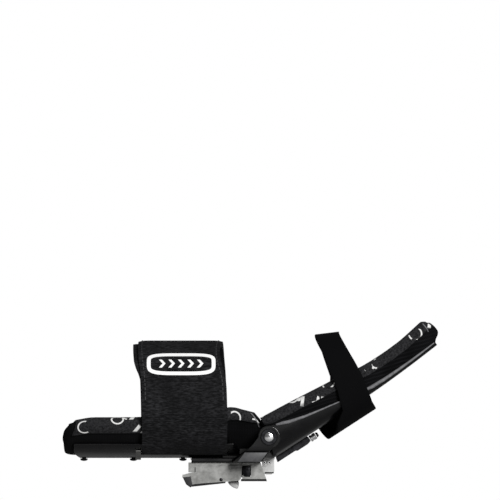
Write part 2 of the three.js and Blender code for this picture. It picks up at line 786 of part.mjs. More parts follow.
function latchBase() {
  const rearHalf = leverInside - gap;
  const narrow = block(latchRear, leverFront + 1, -rearHalf, rearHalf, latchWebBottom, latchWebTop);
  const wide = block(leverFront + 0.8, latchFront - 4.4, -latchHalfWidth, latchHalfWidth, latchWebBottom, latchWebTop);
  const tab = block(latchRear, latchRear + latchSteel, -rearHalf, rearHalf, latchWebTop - latchEndTab, latchWebTop);
  let base = solid(narrow).add(solid(wide)).add(solid(tab));
  const cheek = [
    [leverFront + 0.8, latchWebTop],
    [latchFront - 4.4, latchWebTop],
    [latchFront, latchBottom],
    [leverFront + 0.8, latchBottom],
  ];
  const ledge = [
    [latchRear, latchWebTop],
    [leverRear + 20, latchWebTop],
    [leverRear + 11, latchWebBottom - latchEndTab / 2],
    [leverRear, latchWebTop - latchEndTab],
    [latchRear, latchWebTop - latchEndTab],
  ];
  const hanger = [
    [latchPivotX - leverEarRadius, latchWebTop - 0.5],
    [latchPivotX + leverEarRadius, latchWebTop - 0.5],
    [latchPivotX + 3.4, latchPivotZ - 2.4],
    [latchPivotX + 1.4, latchPivotZ - 3.9],
    [latchPivotX - 1.4, latchPivotZ - 3.9],
    [latchPivotX - 3.4, latchPivotZ - 2.4],
  ];
  for (const side of [-1, 1]) {
    base = base.add(solid(slab(cheek, latchSteel / 2, side * (latchHalfWidth - latchSteel / 2))));
    base = base.add(solid(slab(ledge, latchSteel / 2, side * (rearHalf - latchSteel / 2))));
    base = base.add(solid(slab(hanger, latchSteel / 2, side * (slotHalf + gap + latchSteel / 2))));
  }
  const slot = block(slotRear, latchFront + 2, -slotHalf, slotHalf, latchWebBottom - 2, latchWebTop + 2);
  base = base.subtract(solid(slot));
  const windowTop = latchWebBottom - 0.4;
  const windowBottom = latchPivotZ - windowDrop;
  const outline = [
    [latchPivotX - windowHalf, windowTop],
    [latchPivotX + windowHalf, windowTop],
    [latchPivotX + windowHalf, windowBottom],
    [latchPivotX - windowHalf / 3, windowBottom],
    [latchPivotX - windowHalf, windowBottom + windowDrop / 2],
  ];
  for (const side of [-1, 1]) {
    base = base.subtract(solid(slab(outline, latchSteel, side * latchHalfWidth)));
  }
  return base.subtract(crossHole(latchPivotX, latchPivotZ, latchPinRadius + gap, leverInside));
}

function latchPin() {
  const pin = new THREE.CylinderGeometry(latchPinRadius, latchPinRadius, 2 * latchHalfWidth - gap, 14);
  return pin.translate(latchPivotX, 0, latchPivotZ);
}

function latchLever() {
  const lowRear = latchBottom - leverSlope;
  const top = latchPivotZ + 3;
  const side = [
    [leverRear, top],
    [latchPivotX, latchPivotZ + leverEarRadius - 0.1],
    [latchPivotX, latchPivotZ - leverEarRadius + 0.1],
    [leverFront, latchPivotZ - leverEarRadius + 0.1],
    [leverFront, latchBottom + leverSteel],
    [leverFront - leverSteel, latchBottom],
    [leverRear, lowRear],
  ];
  let lever = solid(slab(side, leverHalfWidth));
  const ear = new THREE.CylinderGeometry(leverEarRadius, leverEarRadius, 2 * leverHalfWidth, 18);
  lever = lever.add(solid(ear.translate(latchPivotX, 0, latchPivotZ)));
  const slope = leverSlope / (leverFront - leverRear);
  const reach = 12;
  const hollow = [
    [leverRear - reach, top + reach],
    [leverFront + reach, top + reach],
    [leverFront + reach, latchBottom + leverSteel + slope * reach],
    [leverRear - reach, lowRear + leverSteel - slope * reach],
  ];
  lever = lever.subtract(solid(slab(hollow, leverInside)));
  const lip = [
    [leverRear + 1, lowRear + slope],
    [leverRear + 1, lowRear + leverSteel + slope],
    [leverRear - 0.2 * leverLip, lowRear + leverSteel],
    [leverRear - 0.76 * leverLip, lowRear + 4.4 * leverSteel],
    [leverRear - 0.8 * leverLip, lowRear + 3 * leverSteel],
    [leverRear - 0.3 * leverLip, lowRear - 0.8],
  ];
  lever = lever.add(solid(slab(lip, leverHalfWidth)));
  const gusset = [
    [leverRear + 1, lowRear + leverSteel],
    [leverRear + 1, lowRear + 5.4 * leverSteel],
    [leverRear - 0.3 * leverLip, lowRear + 5 * leverSteel],
    [leverRear - 0.76 * leverLip, lowRear + 4 * leverSteel],
    [leverRear - 0.25 * leverLip, lowRear],
  ];
  for (const way of [-1, 1]) {
    lever = lever.add(solid(slab(gusset, leverSteel / 2, way * (leverHalfWidth - leverSteel / 2))));
  }
  return lever.subtract(crossHole(latchPivotX, latchPivotZ, latchPinRadius + gap, 2 * leverHalfWidth));
}

// The bright claw under the lever
function latchHook() {
  const slope = leverSlope / (leverFront - leverRear);
  const seat = (x) => latchBottom - slope * (leverFront - leverSteel - x) - gap;
  const start = leverFront - leverSteel - hookLength;
  const outline = [
    [start, seat(start)],
    [start + hookLength, seat(start + hookLength)],
    [start + hookLength, seat(start) - 0.45 * hookDrop],
    [start + 0.94 * hookLength, seat(start) - 0.85 * hookDrop],
    [start + 0.84 * hookLength, seat(start) - hookDrop],
    [start + 0.5 * hookLength, seat(start) - 0.8 * hookDrop],
    [start + 0.2 * hookLength, seat(start) - 0.45 * hookDrop],
  ];
  return slab(outline, hookHalfWidth);
}

// Heel lug: its block hangs below the hinge and its foot sits inside the hand trough's heel
function fromHinge(x, z) {
  const turn = cupAngle * degrees;
  return [x * Math.cos(turn) + z * Math.sin(turn), -x * Math.sin(turn) + z * Math.cos(turn)];
}

function heelLug() {
  const inside = -handDepth + handPlateThickness + gap;
  const below = -handDepth - gap;
  const drop = (x, share) => fromHinge(x, -lugTop - share * (lugBottom - lugTop));
  const outline = [
    drop(-lugRear, 0),
    [handHeel - gap - 2 * lugSteel, inside + lugSteel],
    [handHeel + lugFoot, inside + lugSteel],
    [handHeel + lugFoot, inside],
    [handHeel - gap, inside],
    [handHeel - gap, below],
    drop(lugFront, 0.09),
    drop(lugFront, 0.83),
    drop(lugFront / 2, 1),
    drop(-lugRear / 2, 1),
    drop(-lugRear, 0.8),
  ];
  let lug = solid(slab(outline, lugHalfWidth));
  for (const x of [-0.64 * lugRear, 0.06 * lugFront]) {
    const [u, v] = drop(x, 0.26);
    lug = lug.subtract(crossHole(u, v, lugSteel / 2, 2 * lugHalfWidth, 8));
  }
  return lug;
}

const lockTop = -handDepth - gap;
const lockFront = handHeel + lockLength;

function lockBar() {
  const low = lockTop - lockDepth;
  const outline = [
    [handHeel + 0.3, lockTop],
    [lockFront, lockTop],
    [lockFront, low],
    [lockFront - 3, low - 0.8],
    [lockFront - 11, low - 0.8],
    [lockFront - 12.5, low],
    [handHeel - 0.5, low],
  ];
  return slab(outline, lockHalfWidth);
}

function lockScrew() {
  const geometry = new THREE.CylinderGeometry(lockScrewRadius, lockScrewRadius, lockScrewLength, 12);
  geometry.rotateZ(Math.PI / 2);
  return geometry.translate(lockFront + gap + lockScrewLength / 2, 0, lockTop - lockScrewRadius);
}

function lockNut() {
  const length = 1.6;
  const geometry = new THREE.CylinderGeometry(lockScrewRadius / 2, 0.8 * lockScrewRadius, length, 10);
  geometry.rotateZ(-Math.PI / 2);
  return geometry.translate(lockFront + 2 * gap + lockScrewLength + length / 2, 0, lockTop - lockScrewRadius);
}

// Assembly

addPart(model, "forearm_plate", forearmPlate(), "lacquer");
const forearmPad = forearmPadGrids();
addPart(model, "forearm_pad", wall(forearmPad.outer, forearmPad.inner), "foam");
const linerRows = forearmPad.outer.map((_, i) => i).slice(2, -1);
addPart(model, "forearm_pad_liner", linerOver(forearmPad, linerRows), "liner");
addPart(model, "forearm_strap", forearmStrap(), "elastic");
addPart(model, "strap_keeper", strapKeeper(), "zinc");
["plate_rivet_rear", "plate_rivet_middle", "plate_rivet_front"].forEach((name, i) => {
  const head = rivet(rivetRadius, rivetHeight, rivetShank, plateThickness + gap);
  head.rotateX(Math.PI);
  head.translate(plateRivets[i], 0, -plateOuterRadius - gap);
  addPart(model, name, head, "darkSteel");
});
addPart(model, "hinge_yoke", hingeYoke(), "lacquer");
for (const [name, side] of [["near", -1], ["far", 1]]) {
  const washer = solid(new THREE.CylinderGeometry(washerRadius, washerRadius, washerThickness, 20));
  const bored = washer.subtract(crossHole(0, 0, pivotShankRadius + gap, 4));
  const washerMesh = addPart(model, `pivot_washer_${name}`, bored, "darkSteel");
  washerMesh.position.set(pivotX, side * (yokeEarOuter + gap + washerThickness / 2), pivotZ);
  const seat = yokeEarOuter + 2 * gap + washerThickness;
  const length = seat - (handHalfWidth - handPlateThickness);
  const pin = rivet(pivotDomeRadius, pivotDomeHeight, pivotShankRadius, length, 16);
  pin.rotateX(side < 0 ? Math.PI / 2 : -Math.PI / 2);
  pin.translate(pivotX, side * seat, pivotZ);
  addPart(model, `pivot_rivet_${name}`, pin, "chrome");
}
addPart(model, "latch_mount", latchMount(), "lacquer");
addPart(model, "latch_base", latchBase(), "zinc");
addPart(model, "latch_pin", latchPin(), "darkSteel");
addPart(model, "latch_lever", latchLever(), "zinc");
addPart(model, "latch_hook", latchHook(), "chrome");
addPart(hand, "hand_plate", handPlate(), "lacquer");
const handPad = handPadGrids();
addPart(hand, "hand_pad", wall(handPad.outer, handPad.inner), "foam");
const handRows = handPad.outer.map((_, i) => i).slice(1, -1);
addPart(hand, "hand_pad_liner", linerOver(handPad, handRows), "liner");
addPart(hand, "hand_strap", handStrap(), "webbing");
addPart(hand, "heel_lug", heelLug(), "chrome");
addPart(hand, "lock_bar", lockBar(), "darkSteel");
addPart(hand, "lock_screw", lockScrew(), "chrome");
addPart(hand, "lock_nut", lockNut(), "darkSteel");

export default model;
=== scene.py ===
import math
import bpy
import numpy as np
from mathutils import Matrix, Vector
from mathutils.bvhtree import BVHTree


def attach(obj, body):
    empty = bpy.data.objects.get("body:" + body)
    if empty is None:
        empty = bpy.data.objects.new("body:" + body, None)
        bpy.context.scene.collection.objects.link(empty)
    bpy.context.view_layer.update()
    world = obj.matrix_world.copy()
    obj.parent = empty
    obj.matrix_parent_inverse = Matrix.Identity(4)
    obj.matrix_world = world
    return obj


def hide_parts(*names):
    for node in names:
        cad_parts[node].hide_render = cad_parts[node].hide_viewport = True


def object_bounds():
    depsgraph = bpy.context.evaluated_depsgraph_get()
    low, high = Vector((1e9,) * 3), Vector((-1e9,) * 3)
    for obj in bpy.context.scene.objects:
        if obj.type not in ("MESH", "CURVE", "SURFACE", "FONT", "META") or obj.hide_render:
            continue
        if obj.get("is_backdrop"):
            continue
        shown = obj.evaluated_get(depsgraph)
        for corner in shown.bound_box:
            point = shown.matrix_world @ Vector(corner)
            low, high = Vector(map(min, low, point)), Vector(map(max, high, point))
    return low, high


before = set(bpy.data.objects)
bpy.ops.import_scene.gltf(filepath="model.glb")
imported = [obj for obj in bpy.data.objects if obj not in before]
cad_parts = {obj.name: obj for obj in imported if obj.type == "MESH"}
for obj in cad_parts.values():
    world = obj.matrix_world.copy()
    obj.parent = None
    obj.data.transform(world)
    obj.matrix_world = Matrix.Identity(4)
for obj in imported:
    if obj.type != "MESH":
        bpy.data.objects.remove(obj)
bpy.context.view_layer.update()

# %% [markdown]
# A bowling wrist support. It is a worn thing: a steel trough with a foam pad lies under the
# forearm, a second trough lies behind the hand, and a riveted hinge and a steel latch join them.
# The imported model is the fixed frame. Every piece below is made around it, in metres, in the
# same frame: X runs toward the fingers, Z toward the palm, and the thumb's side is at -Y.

MM = 0.001

# %% [markdown]
# The colours are sRGB hex values, as a paint chart gives them, and one function turns them to the
# linear values that a shader needs. Another adds a node and feeds it, so that each material reads
# as a short list of what its surface is made of.

# %% Colour and node helpers
def colour(code):
    """An sRGB hex value as linear red, green, blue and alpha."""
    parts = [int(code[i:i + 2], 16) / 255 for i in (0, 2, 4)]
    return [c / 12.92 if c <= 0.04045 else ((c + 0.055) / 1.055) ** 2.4 for c in parts] + [1.0]


def feed(socket, value):
    """Links an input to another socket, or gives it a value."""
    if isinstance(value, bpy.types.NodeSocket):
        socket.id_data.links.new(value, socket)
    else:
        socket.default_value = value


def add(where, kind, inputs=None, **settings):
    """Adds a node in the tree of a socket, sets it, and feeds its inputs."""
    made = where.id_data.nodes.new(kind)
    for key, value in settings.items():
        setattr(made, key, value)
    for key, value in (inputs or {}).items():
        feed(made.inputs[key], value)
    return made


def start_material(name, **shader_values):
    """A new material with one shader, and the place on the object as a pattern's coordinates."""
    material = bpy.data.materials.new(name)
    material.use_nodes = True
    tree = material.node_tree
    tree.nodes.clear()
    shader = add(tree, "ShaderNodeBsdfPrincipled", shader_values)
    add(tree, "ShaderNodeOutputMaterial", {"Surface": shader.outputs[0]})
    place = add(tree, "ShaderNodeTexCoord").outputs["Object"]
    return material, shader.inputs, place


def bump(surface, height, depth_mm, strength):
    """Raises a surface by a height pattern, depth in millimetres."""
    inputs = {"Height": height, "Distance": depth_mm * MM, "Strength": strength}
    feed(surface["Normal"], add(height, "ShaderNodeBump", inputs).outputs[0])


def mixed(share, first, second):
    """A colour between two, by a share from 0 to 1."""
    made = add(share, "ShaderNodeMix", {"Factor": share, 6: first, 7: second}, data_type="RGBA")
    return made.outputs[2]


def paint(surface, share, dark, light):
    """Gives a surface a colour between two hex values, by a share from 0 to 1."""
    feed(surface["Base Color"], mixed(share, colour(dark), colour(light)))


def ramp(value, low, high, start=0.0, end=1.0):
    """Maps low..high of a value to start..end, and stops there."""
    inputs = {0: value, 1: low, 2: high, 3: start, 4: end}
    return add(value, "ShaderNodeMapRange", inputs).outputs[0]


def stripes(place, period_mm, direction="X", distortion=0.0):
    """Sine stripes with a period in millimetres. A wave's bands turn 20 times their scale."""
    scale = 2 * math.pi / 20 / (period_mm * MM)
    inputs = {"Vector": place, "Scale": scale, "Distortion": distortion, "Detail": 1.0}
    made = add(place, "ShaderNodeTexWave", inputs, bands_direction=direction)
    return made.outputs["Fac"]


def grain(place, size_mm, detail=2.0, roughness=0.5):
    """Cloudy noise whose spots are about size_mm across."""
    inputs = {"Vector": place, "Scale": 1 / (size_mm * MM), "Detail": detail, "Roughness": roughness}
    return add(place, "ShaderNodeTexNoise", inputs).outputs["Fac"]


def turned_place(place, degrees, stretch=(1, 1, 1)):
    """The place turned about Y and stretched, for a pattern that follows a tilted piece."""
    inputs = {"Vector": place, "Rotation": (0, math.radians(degrees), 0), "Scale": stretch}
    return add(place, "ShaderNodeMapping", inputs, vector_type="TEXTURE").outputs[0]


def maths(operation, first, second):
    """One step of arithmetic on patterns."""
    return add(first, "ShaderNodeMath", {0: first, 1: second}, operation=operation).outputs[0]

# %% [markdown]
# The troughs and the hinge's yoke are pressed from sheet steel, smoothed, and dipped in black
# stoving lacquer. That gives a deep black with a sharp gloss, a faint orange peel about 1.5 mm
# wide, and a little dust. A clear coat over a nearly black base gives the same look.

# %% Black stoving lacquer
def make_lacquer():
    """Black lacquer under a thin clear coat, with dust and a faint orange peel."""
    values = {"Roughness": 0.3, "IOR": 1.3, "Coat Weight": 0.35, "Coat Roughness": 0.1, "Coat IOR": 1.35}
    material, surface, place = start_material("black_stoving_lacquer", **values)
    dust = ramp(grain(place, 9, detail=6, roughness=0.7), 0.52, 0.75)
    paint(surface, dust, "030304", "0c0c0d")
    gloss = ramp(grain(place, 22, detail=4), 0.3, 0.7, 0.22, 0.4)
    feed(surface["Roughness"], gloss)
    bump(surface, grain(place, 1.5), 0.02, 0.6)
    return material


lacquer = make_lacquer()
print("made", lacquer.name)

# %% [markdown]
# The latch is stamped from steel and zinc plated, which leaves a pale, slightly uneven grey with
# fine rolling lines and small scratches. Its pin, its rivets and the lock bar are blackened, and
# the hook, the lug, the screw and the pivot rivets are bright nickel chrome.

# %% Plated metals
def make_metal(name, light, dark, low, high, lines_mm, depth):
    """A plated metal: two tones in patches, roughness from low to high, and fine lines."""
    material, surface, place = start_material(name, Metallic=1.0)
    patches = ramp(grain(place, 5, detail=5, roughness=0.65), 0.35, 0.65)
    paint(surface, patches, dark, light)
    along = add(place, "ShaderNodeMapping", {"Vector": place, "Scale": (0.08, 1, 1)}).outputs[0]
    lines = grain(along, lines_mm, detail=3, roughness=0.7)
    feed(surface["Roughness"], ramp(lines, 0.3, 0.7, low, high))
    bump(surface, lines, depth, 0.5)
    return material


zinc = make_metal("zinc_plated_steel", "8a8a88", "6c6c6a", 0.38, 0.52, 0.5, 0.03)
chrome = make_metal("bright_nickel_chrome", "f2f2f2", "e6e6e8", 0.12, 0.2, 0.8, 0.001)
nickel = make_metal("satin_nickel", "acacab", "9a9a99", 0.38, 0.44, 0.7, 0.002)
dark_steel = make_metal("blackened_steel", "2c2c2e", "151517", 0.3, 0.48, 0.6, 0.02)
print("made", zinc.name, chrome.name, nickel.name, dark_steel.name)

# %% [markdown]
# Soft goods next. The pads are foam in a black double knit: fine loops in columns, here drawn
# about 1.1 mm wide, because the real 0.5 mm loops would vanish in the picture. Its nap gives a
# faint sheen at grazing angles.

# %% Black double knit
HAND_TILT = 33
CREASE_SPACING = 2.4
CREASE_LEAN = 74


def make_knit(name, turn, creases=False):
    """Loops in columns and rows, worn in patches, with paler creases where they are asked for."""
    values = {"Roughness": 0.9, "Specular IOR Level": 0.08, "Sheen Weight": 0.01}
    material, surface, place = start_material(name, **values)
    along = turned_place(place, turn)
    columns = stripes(along, 1.1, "X", 0.6)
    rows = stripes(along, 0.9, "Z", 0.6)
    loops = maths("MULTIPLY", columns, rows)
    worn = ramp(grain(place, 14, detail=4), 0.35, 0.7)
    shade = maths("MULTIPLY", loops, worn)
    if creases:
        leaning = turned_place(place, turn - CREASE_LEAN)
        ridges = maths("POWER", stripes(leaning, CREASE_SPACING, "X", 1.4), 3.0)
        patches = ramp(grain(place, 16, detail=1), 0.4, 0.6, 0.3, 1.0)
        shade = maths("ADD", shade, maths("MULTIPLY", ridges, patches))
    paint(surface, shade, "050506", "161618")
    bump(surface, loops, 0.12, 0.7)
    return material


forearm_knit = make_knit("black_double_knit_forearm", 0)
hand_knit = make_knit("black_double_knit_hand", -HAND_TILT, creases=True)
print("made", forearm_knit.name, hand_knit.name)

# %% [markdown]
# The liner is a brushed cloth, charcoal with a cloudy lighter fleck, printed with scattered white
# shapes. Here the print is a plain geometric one: open rings and short slanted bars. Both grow from
# scattered cells: a ring is a thin band at one distance from a cell's middle, and a bar is the
# middle of a cell that was squeezed to a narrow shape.

# %% Brushed liner cloth with a geometric print
RING_CELL = 15.0
RING_RADIUS = 4.4
RING_LINE = 0.45
RING_OPENING = 0.47
BAR_CELL = 10.0
BAR_SLANT = 40
BAR_SQUEEZE = (0.7, 1.6, 2.2)
BARS_LEFT_OUT = 0.3


def band(value, middle, half):
    """1 where a value lies within half of a middle, and 0 outside, with a soft edge."""
    away = maths("ABSOLUTE", maths("SUBTRACT", value, middle), 0.0)
    return ramp(away, half * 0.8, half * 1.2, 1, 0)


def cells(place, size_mm, **settings):
    """Scattered cells about size_mm across."""
    inputs = {"Vector": place, "Scale": 1 / (size_mm * MM), "Randomness": 1.0}
    return add(place, "ShaderNodeTexVoronoi", inputs, **settings).outputs


def make_liner(name, turn, shift):
    """The brushed cloth, its print turned in degrees and shifted in millimetres."""
    values = {"Roughness": 0.9, "Specular IOR Level": 0.1, "Sheen Weight": 0.03, "Sheen Roughness": 0.5}
    material, surface, place = start_material(name, **values)
    moved = {"Vector": turned_place(place, turn), "Location": [v * MM for v in shift]}
    along = add(place, "ShaderNodeMapping", moved).outputs[0]
    fleck = ramp(grain(along, 1.3, detail=4, roughness=0.75), 0.35, 0.75)
    cloth = mixed(fleck, colour("0b0b0c"), colour("38383a"))
    rings = cells(along, RING_CELL)
    ring = band(rings["Distance"], RING_RADIUS / RING_CELL, RING_LINE / RING_CELL)
    open_side = maths("GREATER_THAN", grain(along, 7, detail=0), RING_OPENING)
    arcs = maths("MULTIPLY", ring, open_side)
    slanted = turned_place(along, BAR_SLANT, BAR_SQUEEZE)
    bars = cells(slanted, BAR_CELL, distance="CHEBYCHEV")
    chosen = add(along, "ShaderNodeSeparateColor", {"Color": bars["Color"]}).outputs[1]
    bar = ramp(bars["Distance"], 0.13, 0.17, 1, 0)
    bar = maths("MULTIPLY", bar, maths("GREATER_THAN", chosen, BARS_LEFT_OUT))
    ink = maths("MAXIMUM", arcs, bar)
    worn = maths("MULTIPLY", ink, ramp(fleck, 0.0, 0.9, 1.0, 0.75))
    feed(surface["Base Color"], mixed(worn, cloth, colour("e6e6e4")))
    bump(surface, fleck, 0.1, 0.6)
    return material


forearm_liner_cloth = make_liner("brushed_liner_forearm", 0, (31, 0, 17))
hand_liner_cloth = make_liner("brushed_liner_hand", -HAND_TILT, (0, 0, 0))
print("made", forearm_liner_cloth.name, hand_liner_cloth.name)

# %% [markdown]
# The wide strap is woven elastic. Rubber threads draw its cover into cross ribs, which are
# modelled, and the weave between them shows as short dashes across the strap. The hand strap is
# a flat, close webbing that looks almost smooth.

# %% Elastic, webbing, print and thread
def make_elastic():
    """Short dashes across the strap over fine rubber threads, paler in broad patches."""
    values = {"Roughness": 0.9, "Specular IOR Level": 0.1, "Sheen Weight": 0.01}
    material, surface, place = start_material("woven_elastic", **values)
    across = add(place, "ShaderNodeMapping", {"Vector": place, "Scale": (0.28, 1, 1)}).outputs[0]
    dashes = ramp(grain(across, 0.9, detail=2, roughness=0.6), 0.4, 0.7)
    broad = ramp(grain(place, 18, detail=3), 0.3, 0.7, 0.35, 1.0)
    shade = maths("MULTIPLY", dashes, broad)
    paint(surface, shade, "0c0c0d", "2e2e30")
    threads = stripes(place, 1.0, "X", 0.4)
    bump(surface, maths("ADD", threads, dashes), 0.07, 0.6)
    return material


def make_webbing():
    """A close, even weave that lies along the hand trough."""
    values = {"Roughness": 0.9, "Specular IOR Level": 0.08}
    material, surface, place = start_material("close_webbing", **values)
    along = turned_place(place, -HAND_TILT)
    weave = maths("MULTIPLY", stripes(along, 0.8, "X"), stripes(along, 0.8, "Z"))
    paint(surface, weave, "040405", "0a0a0b")
    bump(surface, weave, 0.05, 0.5)
    return material


def make_plain(name, light, dark, roughness, spot_mm, depth):
    """A fine, even finish with a small grain, such as rubber print or sewing thread."""
    material, surface, place = start_material(name, Roughness=roughness)
    spots = grain(place, spot_mm, detail=3)
    paint(surface, ramp(spots, 0.3, 0.7), dark, light)
    bump(surface, spots, depth, 0.4)
    return material


elastic = make_elastic()
webbing = make_webbing()
white_print = make_plain("raised_white_print", "fafafa", "e4e4e2", 0.6, 0.7, 0.02)
thread = make_plain("black_thread", "2c2c2e", "161617", 0.7, 0.4, 0.03)
binding = make_plain("grey_edge_binding", "8d8d8f", "5c5c5e", 0.75, 0.6, 0.04)
# black rubber for the guessed fillers, and painted shade on the latch's lower edges
rubber_and_painted_shade = make_plain("black_rubber_and_painted_shade", "0e0e0f", "060607", 0.8, 1.2, 0.03)
print("made", elastic.name, webbing.name, white_print.name, thread.name, binding.name)

# %% [markdown]
# Operators work on what is selected, as a person's tools do, and the frame arrives with all its
# solids selected. So each step first selects its own object alone. What an operator adds is the
# active object, and it is named at once.

# %% Selecting, copying and finishing
SEAM = 0.002 * MM


def new_object(name, data):
    """A new object in the scene with the data that is given."""
    piece = bpy.data.objects.new(name, data)
    bpy.context.scene.collection.objects.link(piece)
    return piece


def just_made(name):
    """The object that an operator has just added, under its own name."""
    piece = bpy.context.active_object
    piece.name = name
    return piece


def only(piece):
    """Makes one object the selected and active one."""
    bpy.ops.object.select_all(action="DESELECT")
    piece.select_set(True)
    bpy.context.view_layer.objects.active = piece
    return piece


def edit(piece, *steps):
    """Selects all of a piece's mesh, and runs each step in edit mode."""
    only(piece)
    bpy.ops.object.mode_set(mode="EDIT")
    bpy.ops.mesh.select_all(action="SELECT")
    for step in steps:
        step()
    bpy.ops.object.mode_set(mode="OBJECT")
    return piece


def heal(piece):
    """Merges doubled points, and turns all faces outward."""
    return edit(
        piece,
        lambda: bpy.ops.mesh.remove_doubles(threshold=SEAM),
        lambda: bpy.ops.mesh.normals_make_consistent(inside=False),
    )


def modify(piece, kind, **settings):
    """Adds a modifier, sets it and applies it."""
    only(piece)
    modifier = piece.modifiers.new(kind.lower(), kind)
    for key, value in settings.items():
        setattr(modifier, key, value)
    bpy.ops.object.modifier_apply(modifier=modifier.name)
    return piece


def places(piece):
    """The points of a piece as an array."""
    flat = np.empty(len(piece.data.vertices) * 3)
    piece.data.vertices.foreach_get("co", flat)
    return flat.reshape(-1, 3)


def put(piece, points):
    """Writes an array of points back to a piece."""
    piece.data.vertices.foreach_set("co", np.asarray(points, float).ravel())
    piece.data.update()


def smooth(piece, degrees=32):
    """Soft shading across small angles, and sharp edges at large ones."""
    only(piece)
    bpy.ops.object.shade_smooth_by_angle(angle=math.radians(degrees))
    return piece


def dress(piece, material, body, slot, replaces=()):
    """Gives a piece its material, the body it moves with, and what it stands for."""
    piece.data.materials.clear()
    piece.data.materials.append(material)
    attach(piece, body)
    if replaces:
        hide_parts(*replaces)
    print(piece.name, "has", len(piece.data.polygons), "faces")
    return piece


def copy_of(node, name):
    """A new piece with a copy of a solid's mesh, its loose triangles merged."""
    piece = new_object(name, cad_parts[node].data.copy())
    return edit(piece, lambda: bpy.ops.mesh.remove_doubles(threshold=SEAM))

# %% [markdown]
# Sheet steel never has razor edges: shearing and tumbling round them by a quarter millimetre,
# and that is the thin bright line that shows a part as real. The solids already have the right
# sizes, so each steel piece starts as a merged copy. Its flat triangles are dissolved to whole
# faces, and a bevel rounds every edge sharper than 35 degrees. Weighted normals then let the
# large faces keep their own direction, so that flat steel looks flat right up to its edge.

# %% Pressed and stamped steel
def steel_piece(node, material, body, slot, round_mm):
    """A solid's copy with whole flat faces and every sharp edge rounded."""
    piece = copy_of(node, node + "_finished")
    edit(piece, lambda: bpy.ops.mesh.dissolve_limited(angle_limit=math.radians(0.4)))
    settings = {"width": round_mm * MM, "segments": 2, "limit_method": "ANGLE"}
    modify(piece, "BEVEL", angle_limit=math.radians(35), use_clamp_overlap=True, **settings)
    smooth(piece)
    modify(piece, "WEIGHTED_NORMAL", keep_sharp=True, weight=80)
    return dress(piece, material, body, slot, [node])


for row in (
    ("forearm_plate", lacquer, "forearm", "black_lacquer", 0.4),
    ("hinge_yoke", lacquer, "forearm", "black_lacquer", 0.6),
    ("latch_mount", lacquer, "forearm", "black_lacquer", 0.4),
    ("strap_keeper", zinc, "forearm", "zinc_steel", 0.25),
    ("latch_base", zinc, "forearm", "zinc_steel", 0.22),
    ("latch_lever", zinc, "lever", "zinc_steel", 0.3),
    ("latch_hook", nickel, "lever", "chrome", 0.4),
    ("hand_plate", lacquer, "hand", "black_lacquer", 0.75),
    ("heel_lug", nickel, "hand", "chrome", 0.35),
    ("lock_bar", dark_steel, "hand", "dark_steel", 0.4),
):
    steel_piece(*row)

# %% [markdown]
# Rivets, washers and pins are turned parts. As on a lathe, half of the section is drawn once and
# spun round its axis. Spinning can leave the faces inside out, so the doubled points at the pole
# are merged and the normals are worked out again.

# %% Turned parts
LATHE_STEPS = 40


def turned(name, section, centre, axis, *look):
    """Spins a section of (radius, height) in millimetres about an axis through a centre."""
    mesh = bpy.data.meshes.new(name)
    points = [(radius * MM, 0, height * MM) for radius, height in section]
    mesh.from_pydata(points, [(i, i + 1) for i in range(len(points) - 1)], [])
    piece = new_object(name, mesh)
    turn = {"steps": LATHE_STEPS, "angle": 2 * math.pi, "center": (0, 0, 0), "axis": (0, 0, 1)}
    edit(piece, lambda: bpy.ops.mesh.spin(**turn))
    heal(piece)
    stand = Vector((0, 0, 1)).rotation_difference(Vector(axis)).to_matrix().to_4x4()
    piece.data.transform(Matrix.Translation(Vector(centre) * MM) @ stand)
    return dress(smooth(piece, 40), *look)


def dome(radius, rim, height, shank, length, steps=7):
    """The section of a domed rivet whose seat is at height 0 and whose shank runs down."""
    section = [(0, -length), (shank, -length), (shank, 0), (radius - 0.15, 0), (radius, 0.15)]
    section.append((radius, rim))
    for i in range(1, steps):
        turn = i / steps * math.pi / 2
        section.append((radius * math.cos(turn), rim + (height - rim) * math.sin(turn)))
    return section + [(0, height)]


def box(name, low, high, round_mm, side=1):
    """A rounded block between two corners, in millimetres, mirrored to the near side by -1."""
    bpy.ops.mesh.primitive_cube_add(size=1)
    piece = just_made(name)
    low, high = Vector(low), Vector(high)
    middle = (low + high) / 2
    middle.y *= side
    piece.data.transform(Matrix.Diagonal([*((high - low) * MM), 1]))
    piece.data.transform(Matrix.Translation(middle * MM))
    modify(piece, "BEVEL", width=round_mm * MM, segments=3)
    return smooth(piece, 50)


def on_pivot(y):
    """The place on the wrist hinge's axis that lies y millimetres to the far side."""
    return PIVOT[0], y, PIVOT[1]


SIDES = ((-1, "near"), (1, "far"))
PIVOT = (57.4, -29.85)
EAR_FACE = 38.8
SHANK_END = 33.9
GAP = 0.3
WASHER = 0.9
washer_seat = EAR_FACE + GAP
head_seat = washer_seat + WASHER + GAP
ring = [(2.5, 0), (5.35, 0), (5.6, 0.25), (5.6, 0.6), (5.25, WASHER), (2.5, WASHER), (2.5, 0)]
button = dome(3.1, 0.6, 1.25, 2.2, head_seat - SHANK_END)
for side, name in SIDES:
    turned(f"pivot_washer_{name}_turned", ring, on_pivot(side * washer_seat), (0, side, 0),
           dark_steel, "forearm", "dark_steel", [f"pivot_washer_{name}"])
    turned(f"pivot_rivet_{name}_turned", button, on_pivot(side * head_seat), (0, side, 0),
           chrome, "forearm", "chrome", [f"pivot_rivet_{name}"])

PLATE_OUTSIDE = 44.0
plate_head = dome(2.5, 0.6, 1.7, 1.5, 1.8)
for x, name in ((-67.5, "rear"), (-34.1, "middle"), (-0.7, "front")):
    turned(f"plate_rivet_{name}_turned", plate_head, (x, 0, -PLATE_OUTSIDE - GAP), (0, 0, -1),
           dark_steel, "forearm", "dark_steel", [f"plate_rivet_{name}"])

